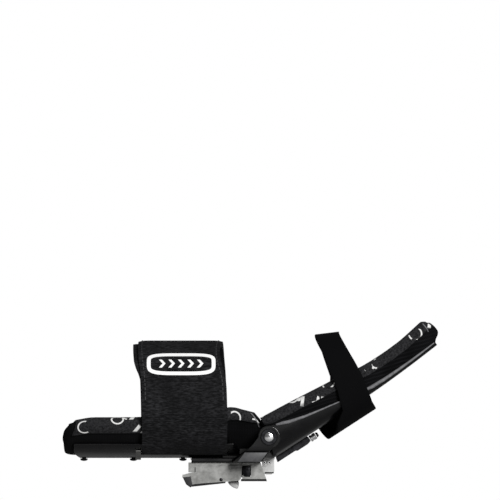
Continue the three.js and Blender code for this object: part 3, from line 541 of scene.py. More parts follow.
# %% [markdown]
# The latch turns on a plain pin, and two small rivets close the lever's sides. A dark barrel fills
# the window of the latch's base. Between base, plate and pad the solids keep clearances, where the
# photograph lets no light through. Thin rubber gaskets, strips of felt and spring leaves close
# them, and so do a stem on the hook and a web on each side of the hand trough's heel. The web is a
# disc whose points are held between two turns, so that only a sector of it is left. What the real
# support has in those dark places isn't seen, so these hidden fillers are guesses.
#
# The lock screw is turned with two collars and a groove, and a dark tip stands before it.

# %% Latch pin, lever rivets, lock screw and its tip
LATCH_PIVOT = (42.0, -53.1)
PIN_HALF = 13.25
half_pin = [(2, PIN_HALF - 0.3), (1.7, PIN_HALF), (0, PIN_HALF)]
section = [(radius, -height) for radius, height in half_pin[::-1]] + half_pin
turned("latch_pin_turned", section, (LATCH_PIVOT[0], 0, LATCH_PIVOT[1]), (0, 1, 0),
       dark_steel, "forearm", "dark_steel", ["latch_pin"])

PAIRED_FILLERS = (
    ("latch_barrel", (39.1, 12.05, -57.0), (44.9, 13.35, -49.4), 0.6, dark_steel, "dark_steel"),
    ("latch_leaf", (21.4, 9.3, -51.6), (38.4, 9.8, -48.2), 0.1, zinc, "zinc_steel"),
    ("latch_gasket", (32.0, 9.6, -47.1), (51.5, 12.8, -46.6), 0.1, rubber_and_painted_shade, "black_lacquer"),
    ("pad_felt", (26.0, 7.6, -43.8), (46.0, 11.0, -37.5), 0.2, rubber_and_painted_shade, "black_lacquer"),
)
for side, name in SIDES:
    for kind, low, high, round_mm, material, slot in PAIRED_FILLERS:
        dress(box(f"{kind}_{name}", low, high, round_mm, side), material, "forearm", slot)
SEAT_GASKET = ((5.0, -9.0, -47.1), (36.0, 9.0, -43.9))
dress(box("latch_seat_gasket", *SEAT_GASKET, 0.2), rubber_and_painted_shade, "forearm", "black_lacquer")

LEVER_FACE = 11.7
LEVER_RIVET = (25.0, -58.6)
HOOK_STEM = ((29.7, -2.9, -60.1), (36.7, 2.9, -57.0))
lever_head = dome(1.1, 0.2, 0.55, 0.7, 1.2, 5)
for side, name in SIDES:
    place = (LEVER_RIVET[0], side * LEVER_FACE, LEVER_RIVET[1])
    turned(f"lever_rivet_{name}", lever_head, place, (0, side, 0), dark_steel, "lever", "dark_steel")
dress(box("hook_stem", *HOOK_STEM, 0.2), dark_steel, "lever", "dark_steel")


def in_row(u, y, v):
    """A place in the hand trough's own frame, turned into the model's frame, in millimetres."""
    turn = math.radians(HAND_TILT)
    return (
        PIVOT[0] + u * math.cos(turn) - v * math.sin(turn),
        y,
        PIVOT[1] + u * math.sin(turn) + v * math.cos(turn),
    )


def in_hand(piece):
    """Moves a piece that was drawn in the hand's own frame into the model's frame."""
    turn = Matrix.Rotation(math.radians(-HAND_TILT), 4, "Y")
    piece.data.transform(Matrix.Translation(Vector((PIVOT[0], 0, PIVOT[1])) * MM) @ turn)
    return piece


BAR_PAD = ((-3.4, -5.0, -14.2), (21.8, 5.0, -13.3))
dress(in_hand(box("lock_bar_pad", *BAR_PAD, 0.1)), rubber_and_painted_shade, "hand", "black_lacquer")
WEB_RADIUS = 14.1
WEB_TURNS = (-152, -100)
WEB_SIDE = 25.0
WEB_THICK = 1.2
disc = {"vertices": 90, "radius": WEB_RADIUS * MM, "fill_type": "TRIFAN"}
for side, name in SIDES:
    bpy.ops.mesh.primitive_circle_add(rotation=(math.pi / 2, 0, 0), **disc)
    web = just_made(f"heel_web_{name}")
    bpy.ops.object.transform_apply(location=True, rotation=True, scale=True)
    corners = places(web)
    turns = np.degrees(np.arctan2(corners[:, 2], corners[:, 0]))
    held = np.radians(np.clip(turns, *WEB_TURNS))
    size = np.hypot(corners[:, 0], corners[:, 2])
    across = np.full(len(size), side * WEB_SIDE * MM)
    put(web, np.stack([size * np.cos(held), across, size * np.sin(held)], 1))
    edit(web, lambda: bpy.ops.mesh.remove_doubles(threshold=SEAM))
    modify(web, "SOLIDIFY", thickness=WEB_THICK * MM, offset=0)
    dress(in_hand(web), lacquer, "hand", "black_lacquer")

SCREW_RADIUS = 2.3
SCREW_START = 22.6
SCREW_HEIGHT = -13.9 - SCREW_RADIUS
TIP_GAP = 4.7
along_hand = (Vector(in_row(1, 0, 0)) - Vector(in_row(0, 0, 0))).normalized()
section = [
    (0, 0), (2.0, 0), (SCREW_RADIUS, 0.3), (SCREW_RADIUS, 1.4), (1.8, 1.6),
    (1.8, 2.0), (SCREW_RADIUS, 2.2), (SCREW_RADIUS, 4.1), (2.0, 4.4), (0, 4.4),
]
turned("lock_screw_turned", section, in_row(SCREW_START, 0, SCREW_HEIGHT), along_hand,
       chrome, "hand", "chrome", ["lock_screw"])
section = [(0, 0), (1.84, 0), (1.84, 0.4), (1.15, 1.6), (0, 1.6)]
turned("lock_tip_turned", section, in_row(SCREW_START + TIP_GAP, 0, SCREW_HEIGHT), along_hand,
       dark_steel, "hand", "dark_steel", ["lock_nut"])

# %% [markdown]
# Two dark pins close the lug's holes, and a dark rubber stop lies across it near its lower end,
# where it meets the latch.

# %% Lug pins and stop
LUG_HALF = 6.1
LUG_PIN_RADIUS = 0.55
LUG_PIN_HEIGHT = -47.05
STOP_HALF = LUG_HALF + 0.15
LUG_STOP = ((54.6, -STOP_HALF, -54.4), (60.6, STOP_HALF, -53.5))
rod = [(0, -LUG_HALF), (LUG_PIN_RADIUS, -LUG_HALF), (LUG_PIN_RADIUS, LUG_HALF), (0, LUG_HALF)]
for x, name in ((54.3, "rear"), (57.6, "front")):
    place = (x, 0, LUG_PIN_HEIGHT)
    turned(f"lug_pin_{name}", rod, place, (0, 1, 0), dark_steel, "hand", "dark_steel")
dress(box("lug_stop", *LUG_STOP, 0.15), rubber_and_painted_shade, "hand", "dark_steel")

# %% [markdown]
# The hand plate's rim is rolled outward to a bead, so that no raw edge meets the hand. The bead's
# grey is a painted highlight, the light that the rolled edge catches from above, and it is the
# palest line on the plate. The bead is drawn as a curve along the rim, thick near the hinge and at
# the finger rest's root, and thin toward its ends. The finger rest is on the near side alone, so
# the far bead stops where the plate's far wall does. The yoke's folded foot carries a painted
# reflection in the same way: a thin grey plate on its face for the pale floor seen in the lacquer.
#
# A dark band along the lower edges of the latch's base and lever, and a dull dark side on the
# lever's lip, are painted shade: the shade under the folded lower edges and inside the flared lip.
# What they are isn't clear there. Each is a flat dark plate with an outline from the side view, a
# thickness and a small bevel.

# %% Rolled rim, the yoke's foot, and the latch's lower edges
RIM = (
    (8.5, 35.1, 4.4, 0.7), (13, 35.5, 2.9, 1.2), (17, 35.7, 1.3, 1.2), (28, 36.0, -1.5, 0.9),
    (40, 36.2, -3.7, 0.6), (50, 36.2, -5.4, 0.5), (61, 36.2, -7.2, 0.5), (71, 36.1, -8.7, 1.0),
    (77, 36.0, -9.4, 1.3), (86, 36.0, -9.7, 1.2), (98, 36.0, -9.4, 1.0), (110, 35.8, -8.8, 0.8),
    (121, 35.4, -8.0, 0.6), (128, 35.2, -7.4, 0.4),
)
FAR_END = ((40, 36.6, -3.7, 0.6), (50, 36.4, -5.4, 0.5), (56, 35.7, -6.5, 0.45), (60.5, 34.1, -7.3, 0.4))
FOOT = ((41.0, -40.3), (56.4, -40.3), (51.6, -46.6), (36.2, -46.6))
# painted shade: dark plates along the lower edges of the latch's base and lever, where the folded edges
# lie in shade
BASE_EDGE_SHADE = ((38.4, -58.2), (55.4, -58.2), (55.9, -59.7), (38.4, -59.7))
LEVER_EDGE_SHADE = ((3.8, -61.9), (28.4, -59.4), (27.8, -61.0), (4.4, -63.5))
LIP_SHADE_OUTLINE = ((-0.9, -57.0), (4.6, -56.4), (5.8, -62.8), (4.2, -63.9), (1.4, -61.8))
# painted highlight: the grey of the rim bead stands for the light that the rolled edge catches from above
rim_highlight = make_plain("rim_painted_highlight", "747476", "525254", 0.5, 2.5, 0.01)
# painted shade: this dark grey on the lever's lip stands for the shade inside the flared lip
lip_shade = make_plain("lip_painted_shade", "262628", "19191a", 0.7, 1.5, 0.02)
# painted reflection: this grey, laid as a thin plate on the yoke's foot, stands for the pale floor
# reflected in the lacquer
foot_reflection = make_plain("foot_painted_reflection", "404042", "323234", 0.5, 2.5, 0.01)
FLAPS = (
    ("yoke_foot", FOOT, 38.75, 0.5, foot_reflection, "forearm", "black_lacquer"),
    ("base_fold", BASE_EDGE_SHADE, 12.75, 1.6, rubber_and_painted_shade, "forearm", "zinc_steel"),
    ("lever_fold", LEVER_EDGE_SHADE, 11.0, 1.2, rubber_and_painted_shade, "lever", "zinc_steel"),
    ("lip_grip", LIP_SHADE_OUTLINE, 11.55, 0.5, lip_shade, "lever", "zinc_steel"),
)


def cord(name, points, material, body, slot):
    """A round cord through points of (x, y, z, radius), in millimetres."""
    curve = bpy.data.curves.new(name, "CURVE")
    curve.dimensions = "3D"
    curve.bevel_depth = MM
    curve.bevel_resolution = 3
    curve.use_fill_caps = True
    spline = curve.splines.new("POLY")
    spline.points.add(len(points) - 1)
    for spot, (x, y, z, radius) in zip(spline.points, points):
        spot.co = (x * MM, y * MM, z * MM, 1)
        spot.radius = radius
    piece = only(new_object(name, curve))
    bpy.ops.object.convert(target="MESH")
    smooth(piece, 60)
    return dress(piece, material, body, slot)


def flap(name, outline, y, thick):
    """A flat plate whose outline is given on the side view as (x, z), in millimetres."""
    bpy.ops.mesh.primitive_circle_add(vertices=len(outline), radius=1, fill_type="NGON")
    piece = just_made(name)
    put(piece, np.array([(x, y, z) for x, z in outline]) * MM)
    modify(piece, "SOLIDIFY", thickness=thick * MM, offset=0)
    modify(piece, "BEVEL", width=0.15 * MM, segments=2)
    return smooth(piece, 50)


for side, name in SIDES:
    path = RIM if name == "near" else (*RIM[:4], *FAR_END)
    rim = [(*in_row(u, side * y, v), radius) for u, y, v, radius in path]
    cord(f"rolled_rim_{name}", rim, rim_highlight, "hand", "black_lacquer")
    for kind, outline, y, thick, *look in FLAPS:
        dress(flap(f"{kind}_{name}", outline, side * y, thick), *look)

# %% [markdown]
# A pad is foam in a sewn fabric cover. It starts as a merged copy of its solid, its triangles
# joined to quads and subdivided, so its edges become full and round. A short cloth simulation
# with a little pressure then lets the cover swell and pucker as a real one does. Each point may
# only move as far as the room to its neighbours allows.

# %% Soft copies and the room round a point
SWELL_FRAMES = 12
PRESSURE = 3.0
SWELL_MARGIN = 0.12


def portion(value, low, high):
    """0 at low and 1 at high, straight between them and held beyond."""
    return np.clip((value - low) / (high - low), 0, 1)


def soft(part):
    """A portion with a soft start and a soft end."""
    return part * part * (3 - 2 * part)


def soft_copy(node, name, levels, crease=0.0):
    """A subdivided copy of a soft solid, its sharp edges held by a crease."""
    piece = copy_of(node, name)
    sharp = math.radians(60)
    edit(
        piece,
        lambda: bpy.ops.mesh.tris_convert_to_quads(face_threshold=sharp, shape_threshold=sharp),
        lambda: bpy.ops.mesh.select_all(action="DESELECT"),
        lambda: bpy.ops.mesh.edges_select_sharp(sharpness=sharp),
        lambda: bpy.ops.transform.edge_crease(value=crease),
    )
    modify(piece, "SUBSURF", levels=1, render_levels=1, subdivision_type="SIMPLE")
    return modify(piece, "SUBSURF", levels=levels, render_levels=levels)


def tree_of(nodes):
    """The faces of some solids, for measuring the distance to them."""
    corners, faces = [], []
    for name in nodes:
        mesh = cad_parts[name].data
        start = len(corners)
        corners += [v.co.copy() for v in mesh.vertices]
        faces += [[start + i for i in p.vertices] for p in mesh.polygons]
    return BVHTree.FromPolygons(corners, faces)


def room_round(points, neighbours, keep_mm, most_mm):
    """How far each point may move: its distance to the neighbours less a margin, up to a limit."""
    tree = tree_of(neighbours)
    near = np.array([tree.find_nearest(Vector(p))[3] for p in points])
    return np.clip(near - keep_mm * MM, 0.05 * MM, most_mm * MM)


def swell(piece, neighbours, most_mm):
    """Blows the cover up a little as cloth, and keeps every point inside its own room."""
    before = places(piece)
    only(piece)
    cloth = piece.modifiers.new("cover", "CLOTH")
    cloth.settings.use_pressure = True
    cloth.settings.uniform_pressure_force = PRESSURE
    cloth.settings.effector_weights.gravity = 0
    cloth.settings.quality = 4
    cloth.collision_settings.use_collision = False
    cloth.point_cache.frame_start = 1
    cloth.point_cache.frame_end = SWELL_FRAMES
    for step in range(1, SWELL_FRAMES + 1):
        bpy.context.scene.frame_set(step)
    bpy.ops.object.modifier_apply(modifier=cloth.name)
    bpy.context.scene.frame_set(1)
    moved = places(piece) - before
    length = np.linalg.norm(moved, axis=1)
    room = room_round(before, neighbours, SWELL_MARGIN, most_mm)
    share = np.minimum(1, room / np.maximum(length, 1e-9))
    put(piece, before + moved * share[:, None])
    print(piece.name, "swelled by up to", round(float((length * share).max()) / MM, 2), "mm")
    return piece


def foam_pad(node, neighbours, most_mm):
    """A pad's swollen cover, subdivided once more so that it can take fine relief."""
    pad = swell(soft_copy(node, node + "_cover", 1), neighbours, most_mm)
    return modify(pad, "SUBSURF", levels=1, render_levels=1)

# %% [markdown]
# The forearm pad is a U-shaped trough. The photograph shows a plain dark side with hardly a
# crease, a full round rear end, and a rim that rises to a hump at the wrist. Each change below
# grows between two places, which are along the arm (x) or in height (z), in millimetres.

# %% Forearm pad
RIM_PRESS = 1.6
HUMP_PRESS = 0.8
NOSE_BULGE = 2.2
REAR_FILL = 2.2
REAR_DROP = 1.0
RIM_Z = (-24, -10)
HUMP_X = (26, 38)
NOSE_X = (34, 48)
REAR_X = (-62, -74)
REAR_Z = (-34, -26)


def worn_in(piece):
    """Presses the rims down under the arm, and fills the pad's front and its round rear end."""
    points = places(piece)
    x, z = points[:, 0] / MM, points[:, 2] / MM
    rim = portion(z, *RIM_Z)
    rear = soft(portion(x, *REAR_X))
    points[:, 2] -= (RIM_PRESS + HUMP_PRESS * portion(x, *HUMP_X)) * soft(rim) * MM
    points[:, 0] += NOSE_BULGE * soft(portion(x, *NOSE_X)) * MM
    points[:, 0] -= REAR_FILL * rear * portion(z, *REAR_Z) * MM
    points[:, 2] -= REAR_DROP * rear * rim * MM
    put(piece, points)


neighbours = ["forearm_plate", "forearm_pad_liner", "forearm_strap", "hinge_yoke", "hand_plate"]
forearm_pad = foam_pad("forearm_pad", neighbours, 0.7)
worn_in(forearm_pad)
smooth(forearm_pad, 80)
dress(forearm_pad, forearm_knit, "forearm", "side_fabric", ["forearm_pad"])

# %% [markdown]
# The hand pad's side shows fine slanted creases beyond the strap, where the cover is pulled over
# the long finger rest. They lie about 2.4 mm apart and run almost along the rest. They are real
# relief, so the mesh is fine enough to carry them, and they fade toward the rim and the steel.

# %% Hand pad with its pulled creases
TIP_START = 127.0
TIP_END = 135.4
TIP_MIDDLE = -1.5
TIP_DROP = 4.5
TIP_BULGE = 1.6
CREASE_DEPTH = 0.5
CREASED_U = (34, 126, 8)
CREASED_V = (-12, 3, 2.5)
CREASED_Y = (12, 60, 4)


def hand_place(points):
    """Places in the hand trough's own frame (u, y, v), in millimetres."""
    turn = math.radians(HAND_TILT)
    x, z = points[:, 0] / MM - PIVOT[0], points[:, 2] / MM - PIVOT[1]
    u = x * math.cos(turn) + z * math.sin(turn)
    v = -x * math.sin(turn) + z * math.cos(turn)
    return u, points[:, 1] / MM, v


def bell(value, start, end, margin):
    """1 between start and end, falling smoothly to 0 over a margin outside."""
    rise = np.clip((value - start) / margin + 1, 0, 1)
    fall = np.clip((end - value) / margin + 1, 0, 1)
    return soft(rise) * soft(fall)


def normals(piece):
    """The outward direction at each point of a piece."""
    flat = np.empty(len(piece.data.vertices) * 3)
    piece.data.vertices.foreach_get("normal", flat)
    return flat.reshape(-1, 3)


def rounded_tip(piece):
    """Rounds the finger rest's soft tip, as foam in a sewn cover rounds itself."""
    points = places(piece)
    u, y, v = hand_place(points)
    past = portion(u, TIP_START, TIP_END)
    v = v - TIP_DROP * past ** 2 * portion(v, -3, 9)
    reach = np.where(v > TIP_MIDDLE, 6.0, 2.4)
    u = u + TIP_BULGE * past * np.clip(1 - ((v - TIP_MIDDLE) / reach) ** 2, -2.5, 1)
    put(piece, np.stack(in_row(u, y, v), 1) * MM)


neighbours = ["hand_plate", "hand_pad_liner", "hand_strap", "hinge_yoke", "forearm_pad"]
hand_pad = foam_pad("hand_pad", neighbours, 0.6)
rounded_tip(hand_pad)
points = places(hand_pad)
u, y, v = hand_place(points)
lean = math.radians(CREASE_LEAN)
slant = math.cos(lean) * u + math.sin(lean) * v + 0.8 * np.sin(u / 9) + 0.3 * np.sin(u / 4)
wave = np.cos(slant * 2 * math.pi / CREASE_SPACING)
sides = bell(u, *CREASED_U) * bell(v, *CREASED_V) * bell(np.abs(y), *CREASED_Y)
patchy = 0.7 + 0.3 * np.sin(u / 5.5 + 1.2) * np.sin(u / 13)
depth = CREASE_DEPTH * MM * wave * sides * patchy
room = room_round(points, ["hand_plate", "hand_pad_liner", "hand_strap"], 0.1, 0.5)
put(hand_pad, points + normals(hand_pad) * np.clip(depth, -0.5 * MM, room)[:, None])
smooth(hand_pad, 80)
dress(hand_pad, hand_knit, "hand", "side_fabric", ["hand_pad"])

# %% [markdown]
# Each liner is one cut sheet of brushed cloth, stretched over the pad's inner face and turned
# over both rims, where it is sewn down. The fold is soft, so the copy is subdivided, with a
# crease that keeps the cut ends square.


FOREARM_LINER_CUT = (0.129, 0.118)
HAND_LINER_CUT = (0.126, 0.109)
liners = {}
for body, material, cut, pad, shaped in (
    ("forearm", forearm_liner_cloth, FOREARM_LINER_CUT, forearm_pad, worn_in),
    ("hand", hand_liner_cloth, HAND_LINER_CUT, hand_pad, rounded_tip),
):
    node = body + "_pad_liner"
    sheet = liners[body] = soft_copy(node, body + "_liner_sheet", 1, 0.9)
    shaped(sheet)
    smooth(sheet, 50)
    dress(sheet, material, body, "liner_print", [node])

# %% [markdown]
# Thin grey piping closes the covers where the sewn end panels meet the sides: at the forearm pad's
# front and at the finger rest's tip. Each cord is drawn on the side view and laid on the cover.

# %% Piping at the pads' ends
PIPING = 0.32
FOREARM_SEAM = ((45.0, -13.6), (46.4, -15.0), (47.8, -16.8), (49.0, -18.8), (50.0, -21.0), (50.7, -23.2))
TIP_SEAM = ((128.6, 7.6), (128.9, 6.0), (129.1, 4.4), (129.1, 2.8), (128.9, 1.2))


def on_side(pieces, path, side):
    """Where a path of (x, z) in millimetres meets the outermost of some pieces, on one side."""
    trees = []
    for piece in pieces:
        corners = [v.co for v in piece.data.vertices]
        trees.append(BVHTree.FromPolygons(corners, [p.vertices[:] for p in piece.data.polygons]))
    found = []
    for x, z in path:
        start = Vector((x, 80 * side, z)) * MM
        hits = [tree.ray_cast(start, Vector((0, -side, 0)))[0] for tree in trees]
        hits = [hit / MM for hit in hits if hit and hit.y * side > 20 * MM]
        found += sorted(hits, key=lambda hit: -hit.y * side)[:1]
    return found


covers = {"forearm": (forearm_pad, liners["forearm"]), "hand": (hand_pad, liners["hand"])}
tip_seam = [in_row(u, 0, v)[::2] for u, v in TIP_SEAM]
for name, body, side, path in (
    ("front_piping_near", "forearm", -1, FOREARM_SEAM),
    ("front_piping_far", "forearm", 1, FOREARM_SEAM),
    ("tip_piping", "hand", -1, tip_seam),
):
    line = [(*place, PIPING) for place in on_side(covers[body], path, side)]
    print(name, "lies on the pad at", len(line), "of", len(path), "places")
    cord(name, line, binding, body, "piping")

# %% [markdown]
# The wide strap starts on the arm, goes over the top, down the far side, through the plate's two
# slots, and up again over its own start. It is laid out as one long strip of points on the same
# path as its solid. Cross ribs about 1.5 mm apart stand out of it, its selvedges are flat, and
# it is given its thickness last.

# %% The strap's path
HOLLOW = 31.0
STRAP_THICK = 2.0
STRAP_WIDE = 57.5
PLATE_INSIDE = 42.4
PAD_OUTSIDE = 42.1
LINER_LAYER = 1.4
SLOT = (18.5, 27.5)
PLATE_EDGE = 37.6
STRAP_RIM = 71.0
STRAP_ENDS = (88.0, 595.0)
STRAP_EDGES = {
    "turn": (88, 108, 126, 150, 180, 250, 294, 400, 426, 462, 474, 489, 508, 540, 595),
    "left": (
        -0.97, -1.03, -1.17, -1.19, -1.19, -1.03, -1, -0.98, -0.98, -1, -1.02, -1.06, -1.08, -1.06, -1.02,
    ),
    "right": (0.9, 0.88, 0.82, 0.82, 0.88, 0.98, 1, 1, 1.02, 0.99, 0.94, 0.85, 0.83, 0.9, 0.95),
}


def eased(start, end, value, low, high):
    """A smooth step from start to end as a value goes from low to high."""
    t = min(1, max(0, (value - low) / (high - low)))
    return start + (end - start) * t * t * (3 - 2 * t)


def strap_radius(turn):
    """The strap's middle line: its distance from the forearm's axis at a turn in degrees."""
    angle = abs((180 - turn) % 360 - 180)
    mid = STRAP_THICK / 2
    second = turn > 360 + STRAP_RIM
    on_arm = HOLLOW + mid + (STRAP_THICK + GAP if second else 0)
    on_pad = PAD_OUTSIDE + LINER_LAYER + GAP + mid
    tangent = STRAP_RIM + math.degrees(math.acos(on_arm / on_pad))
    if turn < 180 or angle >= tangent:
        return on_arm
    if angle > STRAP_RIM:
        return on_arm / math.cos(math.radians(tangent - angle))
    over = PLATE_OUTSIDE + GAP + mid
    if angle > PLATE_EDGE:
        return eased(over, on_pad, angle, PLATE_EDGE + 2, STRAP_RIM)
    return eased(PLATE_INSIDE - GAP - mid, over, angle, *SLOT)


def on_circle(turn, radius):
    """A point on a circle round the forearm, the turn counted from straight down."""
    return np.array([-radius * math.sin(math.radians(turn)), -radius * math.cos(math.radians(turn))])


def edge_at(turn, side):
    """A strap edge's place across the strap, in millimetres, averaged over 8 degrees."""
    near = np.linspace(turn - 8, turn + 8, 9)
    return float(np.interp(near, STRAP_EDGES["turn"], STRAP_EDGES[side]).mean()) * STRAP_WIDE / 2


def strap_frame(turn):
    """The middle line's point (y, z) at a turn, and the direction out of the strap there."""
    here = on_circle(turn, strap_radius(turn))
    before, after = turn - 0.5, turn + 0.5
    step = on_circle(after, strap_radius(after)) - on_circle(before, strap_radius(before))
    step /= np.linalg.norm(step)
    out = np.array([step[1], -step[0]])
    return here, out if out @ here > 0 else -out


print("the strap's radius in mm, by its turn:", {t: round(strap_radius(t), 1) for t in (90, 360, 540)})

# %% [markdown]
# A grid is added flat, as long and wide as the strip has points, and its points are then moved to
# the path. The ribs fade at the slots, where the steel presses them flat.

# %% The wide elastic strap
RIB_PITCH = 1.5
RIB_HEIGHT = 0.22
ROWS_PER_RIB = 4
STRAP_COLUMNS = 30
SELVEDGE = 2.2
EDGE_WAVE = 0.25


def strap_stations():
    """Turns at equal distances along the strap, and the distance to each."""
    turns = np.arange(STRAP_ENDS[0], STRAP_ENDS[1] + 0.25, 0.5)
    path = np.array([strap_frame(t)[0] for t in turns])
    lengths = np.concatenate([[0], np.cumsum(np.linalg.norm(np.diff(path, axis=0), axis=1))])
    rows = int(lengths[-1] / RIB_PITCH * ROWS_PER_RIB)
    along = np.linspace(0, lengths[-1], rows)
    return np.interp(along, lengths, turns), along


def strip(name, rows, columns, place):
    """A flat grid of rows by columns, each point moved to place(row, share across)."""
    bpy.ops.mesh.primitive_grid_add(x_subdivisions=columns - 1, y_subdivisions=rows - 1, size=1)
    piece = just_made(name)
    shares = [i / (columns - 1) for i in range(columns)]
    put(piece, np.array([place(row, share) for row in range(rows) for share in shares]) * MM)
    return piece


strap_turns, strap_along = strap_stations()


def strap_point(row, share):
    """A point of the ribbed strap, by its row and its share across."""
    turn = strap_turns[row]
    (y, z), out = strap_frame(turn)
    left, right = edge_at(turn, "left"), edge_at(turn, "right")
    x = left + (right - left) * share
    inset = min(share, 1 - share) * (right - left)
    angle = abs((180 - turn) % 360 - 180)
    free = eased(0, 1, angle, SLOT[1] + 2, SLOT[1] + 9)
    rib = 0.5 - 0.5 * math.cos(2 * math.pi * strap_along[row] / RIB_PITCH)
    rib *= RIB_HEIGHT * free * min(1, max(0, inset - SELVEDGE))
    edge = EDGE_WAVE * free * math.sin(strap_along[row] / 7.0) * (1 - min(1, inset / 6))
    lift = rib + edge - (0.35 if inset < 0.8 else 0)
    return x, y + out[0] * lift, z + out[1] * lift


strap = strip("forearm_strap_ribbed", len(strap_turns), STRAP_COLUMNS, strap_point)
body_thick = (STRAP_THICK - RIB_HEIGHT - 0.1) * MM
modify(strap, "SOLIDIFY", thickness=body_thick, offset=0, use_even_offset=False)
smooth(strap, 60)
dress(strap, elastic, "forearm", "ribbed_elastic", ["forearm_strap"])
print("the strap is", round(strap_along[-1]), "mm long")

# %% [markdown]
# A line of thread runs inside each selvedge of the outer layer. One stitch is copied along a
# straight line by an array, and the whole row is then laid on the strap beside its edge. The same
# function lays the badge's drawings on the strap: it keeps their heights above the surface.

# %% Stitches along the strap
STITCH = (0.6, 1.9, 0.3)
STITCH_STEP = 2.9
STITCH_INSET = 2.4
SEWN = (444.0, 560.0)


def laid_on_strap(piece, start, radius, lift, across):
    """Bends a flat drawing round the strap's outer layer, from a turn on and at a radius."""
    laid = []
    for x, y, z in places(piece) / MM:
        turn = start + math.degrees(y / radius)
        (side_y, side_z), out = strap_frame(turn)
        height = STRAP_THICK / 2 + lift + z
        laid.append((across(turn) + x, side_y + out[0] * height, side_z + out[1] * height))
    put(piece, np.array(laid) * MM)
    return piece


sewn_radius = strap_radius(SEWN[1])
stitches = int(sewn_radius * math.radians(SEWN[1] - SEWN[0]) / STITCH_STEP)
for edge, way in (("left", 1), ("right", -1)):
    bpy.ops.mesh.primitive_cube_add(size=1)
    row = just_made(f"strap_stitches_{edge}")
    row.data.transform(Matrix.Diagonal([*(v * MM for v in STITCH), 1]))
    settings = {"use_relative_offset": False, "use_constant_offset": True, "count": stitches}
    modify(row, "ARRAY", constant_offset_displace=(0, STITCH_STEP * MM, 0), **settings)
    laid_on_strap(row, SEWN[0], sewn_radius, -0.05,
                  lambda turn: edge_at(turn, edge) + way * STITCH_INSET)
    dress(row, thread, "forearm", "ribbed_elastic")

# %% [markdown]
# The strap carries a badge in raised white rubber print, a plain rounded frame round a row of
# chevrons. Each shape is drawn flat at its size and then laid on the strap: its first measure runs
# across the strap and its second round the arm.

# %% The strap's badge
BADGE_X = -1.9
BADGE_TURN = 484.0
BADGE_HALF = (23.2, 8.9)
FRAME_LINE = 2.6
PRINT_LIFT = 0.02
PRINT_THICK = 0.3


def printed(piece):
    """Lays a flat drawing in the badge's place."""
    radius = strap_radius(BADGE_TURN) + STRAP_THICK / 2
    return laid_on_strap(piece, BADGE_TURN, radius, PRINT_LIFT, lambda turn: BADGE_X)


def flat_ring(name, half, line, sides=96, power=4.0):
    """A closed rounded frame of a line's width, drawn flat, in millimetres."""
    bpy.ops.mesh.primitive_circle_add(vertices=sides, radius=1, fill_type="NGON")
    ring = just_made(name)
    corners = places(ring)
    turns = np.arctan2(corners[:, 1], corners[:, 0])
    size = (np.abs(np.cos(turns)) ** power + np.abs(np.sin(turns)) ** power) ** (-1 / power)
    shape = np.stack([np.cos(turns) * size * half[0], np.sin(turns) * size * half[1], 0 * turns], 1)
    put(ring, shape * MM)
    edit(
        ring,
        lambda: bpy.ops.mesh.inset(thickness=line * MM),
        lambda: bpy.ops.mesh.delete(type="ONLY_FACE"),
        lambda: bpy.ops.mesh.select_all(action="SELECT"),
        lambda: bpy.ops.mesh.subdivide(number_cuts=3),
    )
    return ring


badge = flat_ring("strap_badge_frame", BADGE_HALF, FRAME_LINE)
printed(badge)
modify(badge, "SOLIDIFY", thickness=PRINT_THICK * MM, offset=1)
smooth(badge, 40)
dress(badge, white_print, "forearm", "badge_print")

CHEVRONS = 5
CHEVRON_STEP = 6.4
CHEVRON_LINE = 2.0
CHEVRON_POINT = 2.4
CHEVRON_HALF = 3.2
arms = []
for index in range(CHEVRONS):
    for way in (-1, 1):
        bpy.ops.mesh.primitive_grid_add(x_subdivisions=2, y_subdivisions=8, size=1)
        arm = bpy.context.active_object
        points = places(arm)
        across, along = points[:, 0], points[:, 1] + 0.5
        middle = (index - (CHEVRONS - 1) / 2) * CHEVRON_STEP + CHEVRON_POINT / 2
        x = middle + across * CHEVRON_LINE - along * CHEVRON_POINT
        put(arm, np.stack([x, way * along * CHEVRON_HALF, 0 * x], 1) * MM)
        arms.append(printed(arm))
only(arms[0])
for arm in arms:
    arm.select_set(True)
bpy.ops.object.join()
chevrons = heal(just_made("strap_badge_chevrons"))
modify(chevrons, "SOLIDIFY", thickness=PRINT_THICK * MM, offset=0)
dress(chevrons, white_print, "forearm", "badge_print")

# %% [markdown]
# The hand strap is one loop of close webbing, wide where it is sewn under the trough and narrow
# over the palm. Its path is a rounded box, and its two edges follow the same shares as the solid.

# %% The hand strap
HAND_HALF = 35.4
HAND_ROLL = 1.1
HAND_SLACK = 1.2
LOOP_THICK = 1.8
LOOP_TOP = 38.0
LOOP_MIDDLE = 6.0
LOOP_DROP = 29.4
LOOP_LEAN = 0.49
LOOP_CENTRE = 0.545
TROUGH_POWER = 3.6
PALM_POWER = 2.3
HAND_LENGTH = 129.0
LOOP_STEPS = 180
LOOP_COLUMNS = 10
LOOP_EDGES = {
    "turn": (0, 45, 56, 80, 100, 130, 180, 230, 260, 280, 304, 315, 360),
    "left": (0.262, 0.243, 0.24, 0.375, 0.44, 0.474, 0.492, 0.477, 0.448, 0.432, 0.398, 0.336, 0.262),
    "right": (0.55, 0.554, 0.564, 0.585, 0.592, 0.597, 0.605, 0.597, 0.592, 0.585, 0.564, 0.554, 0.55),
}


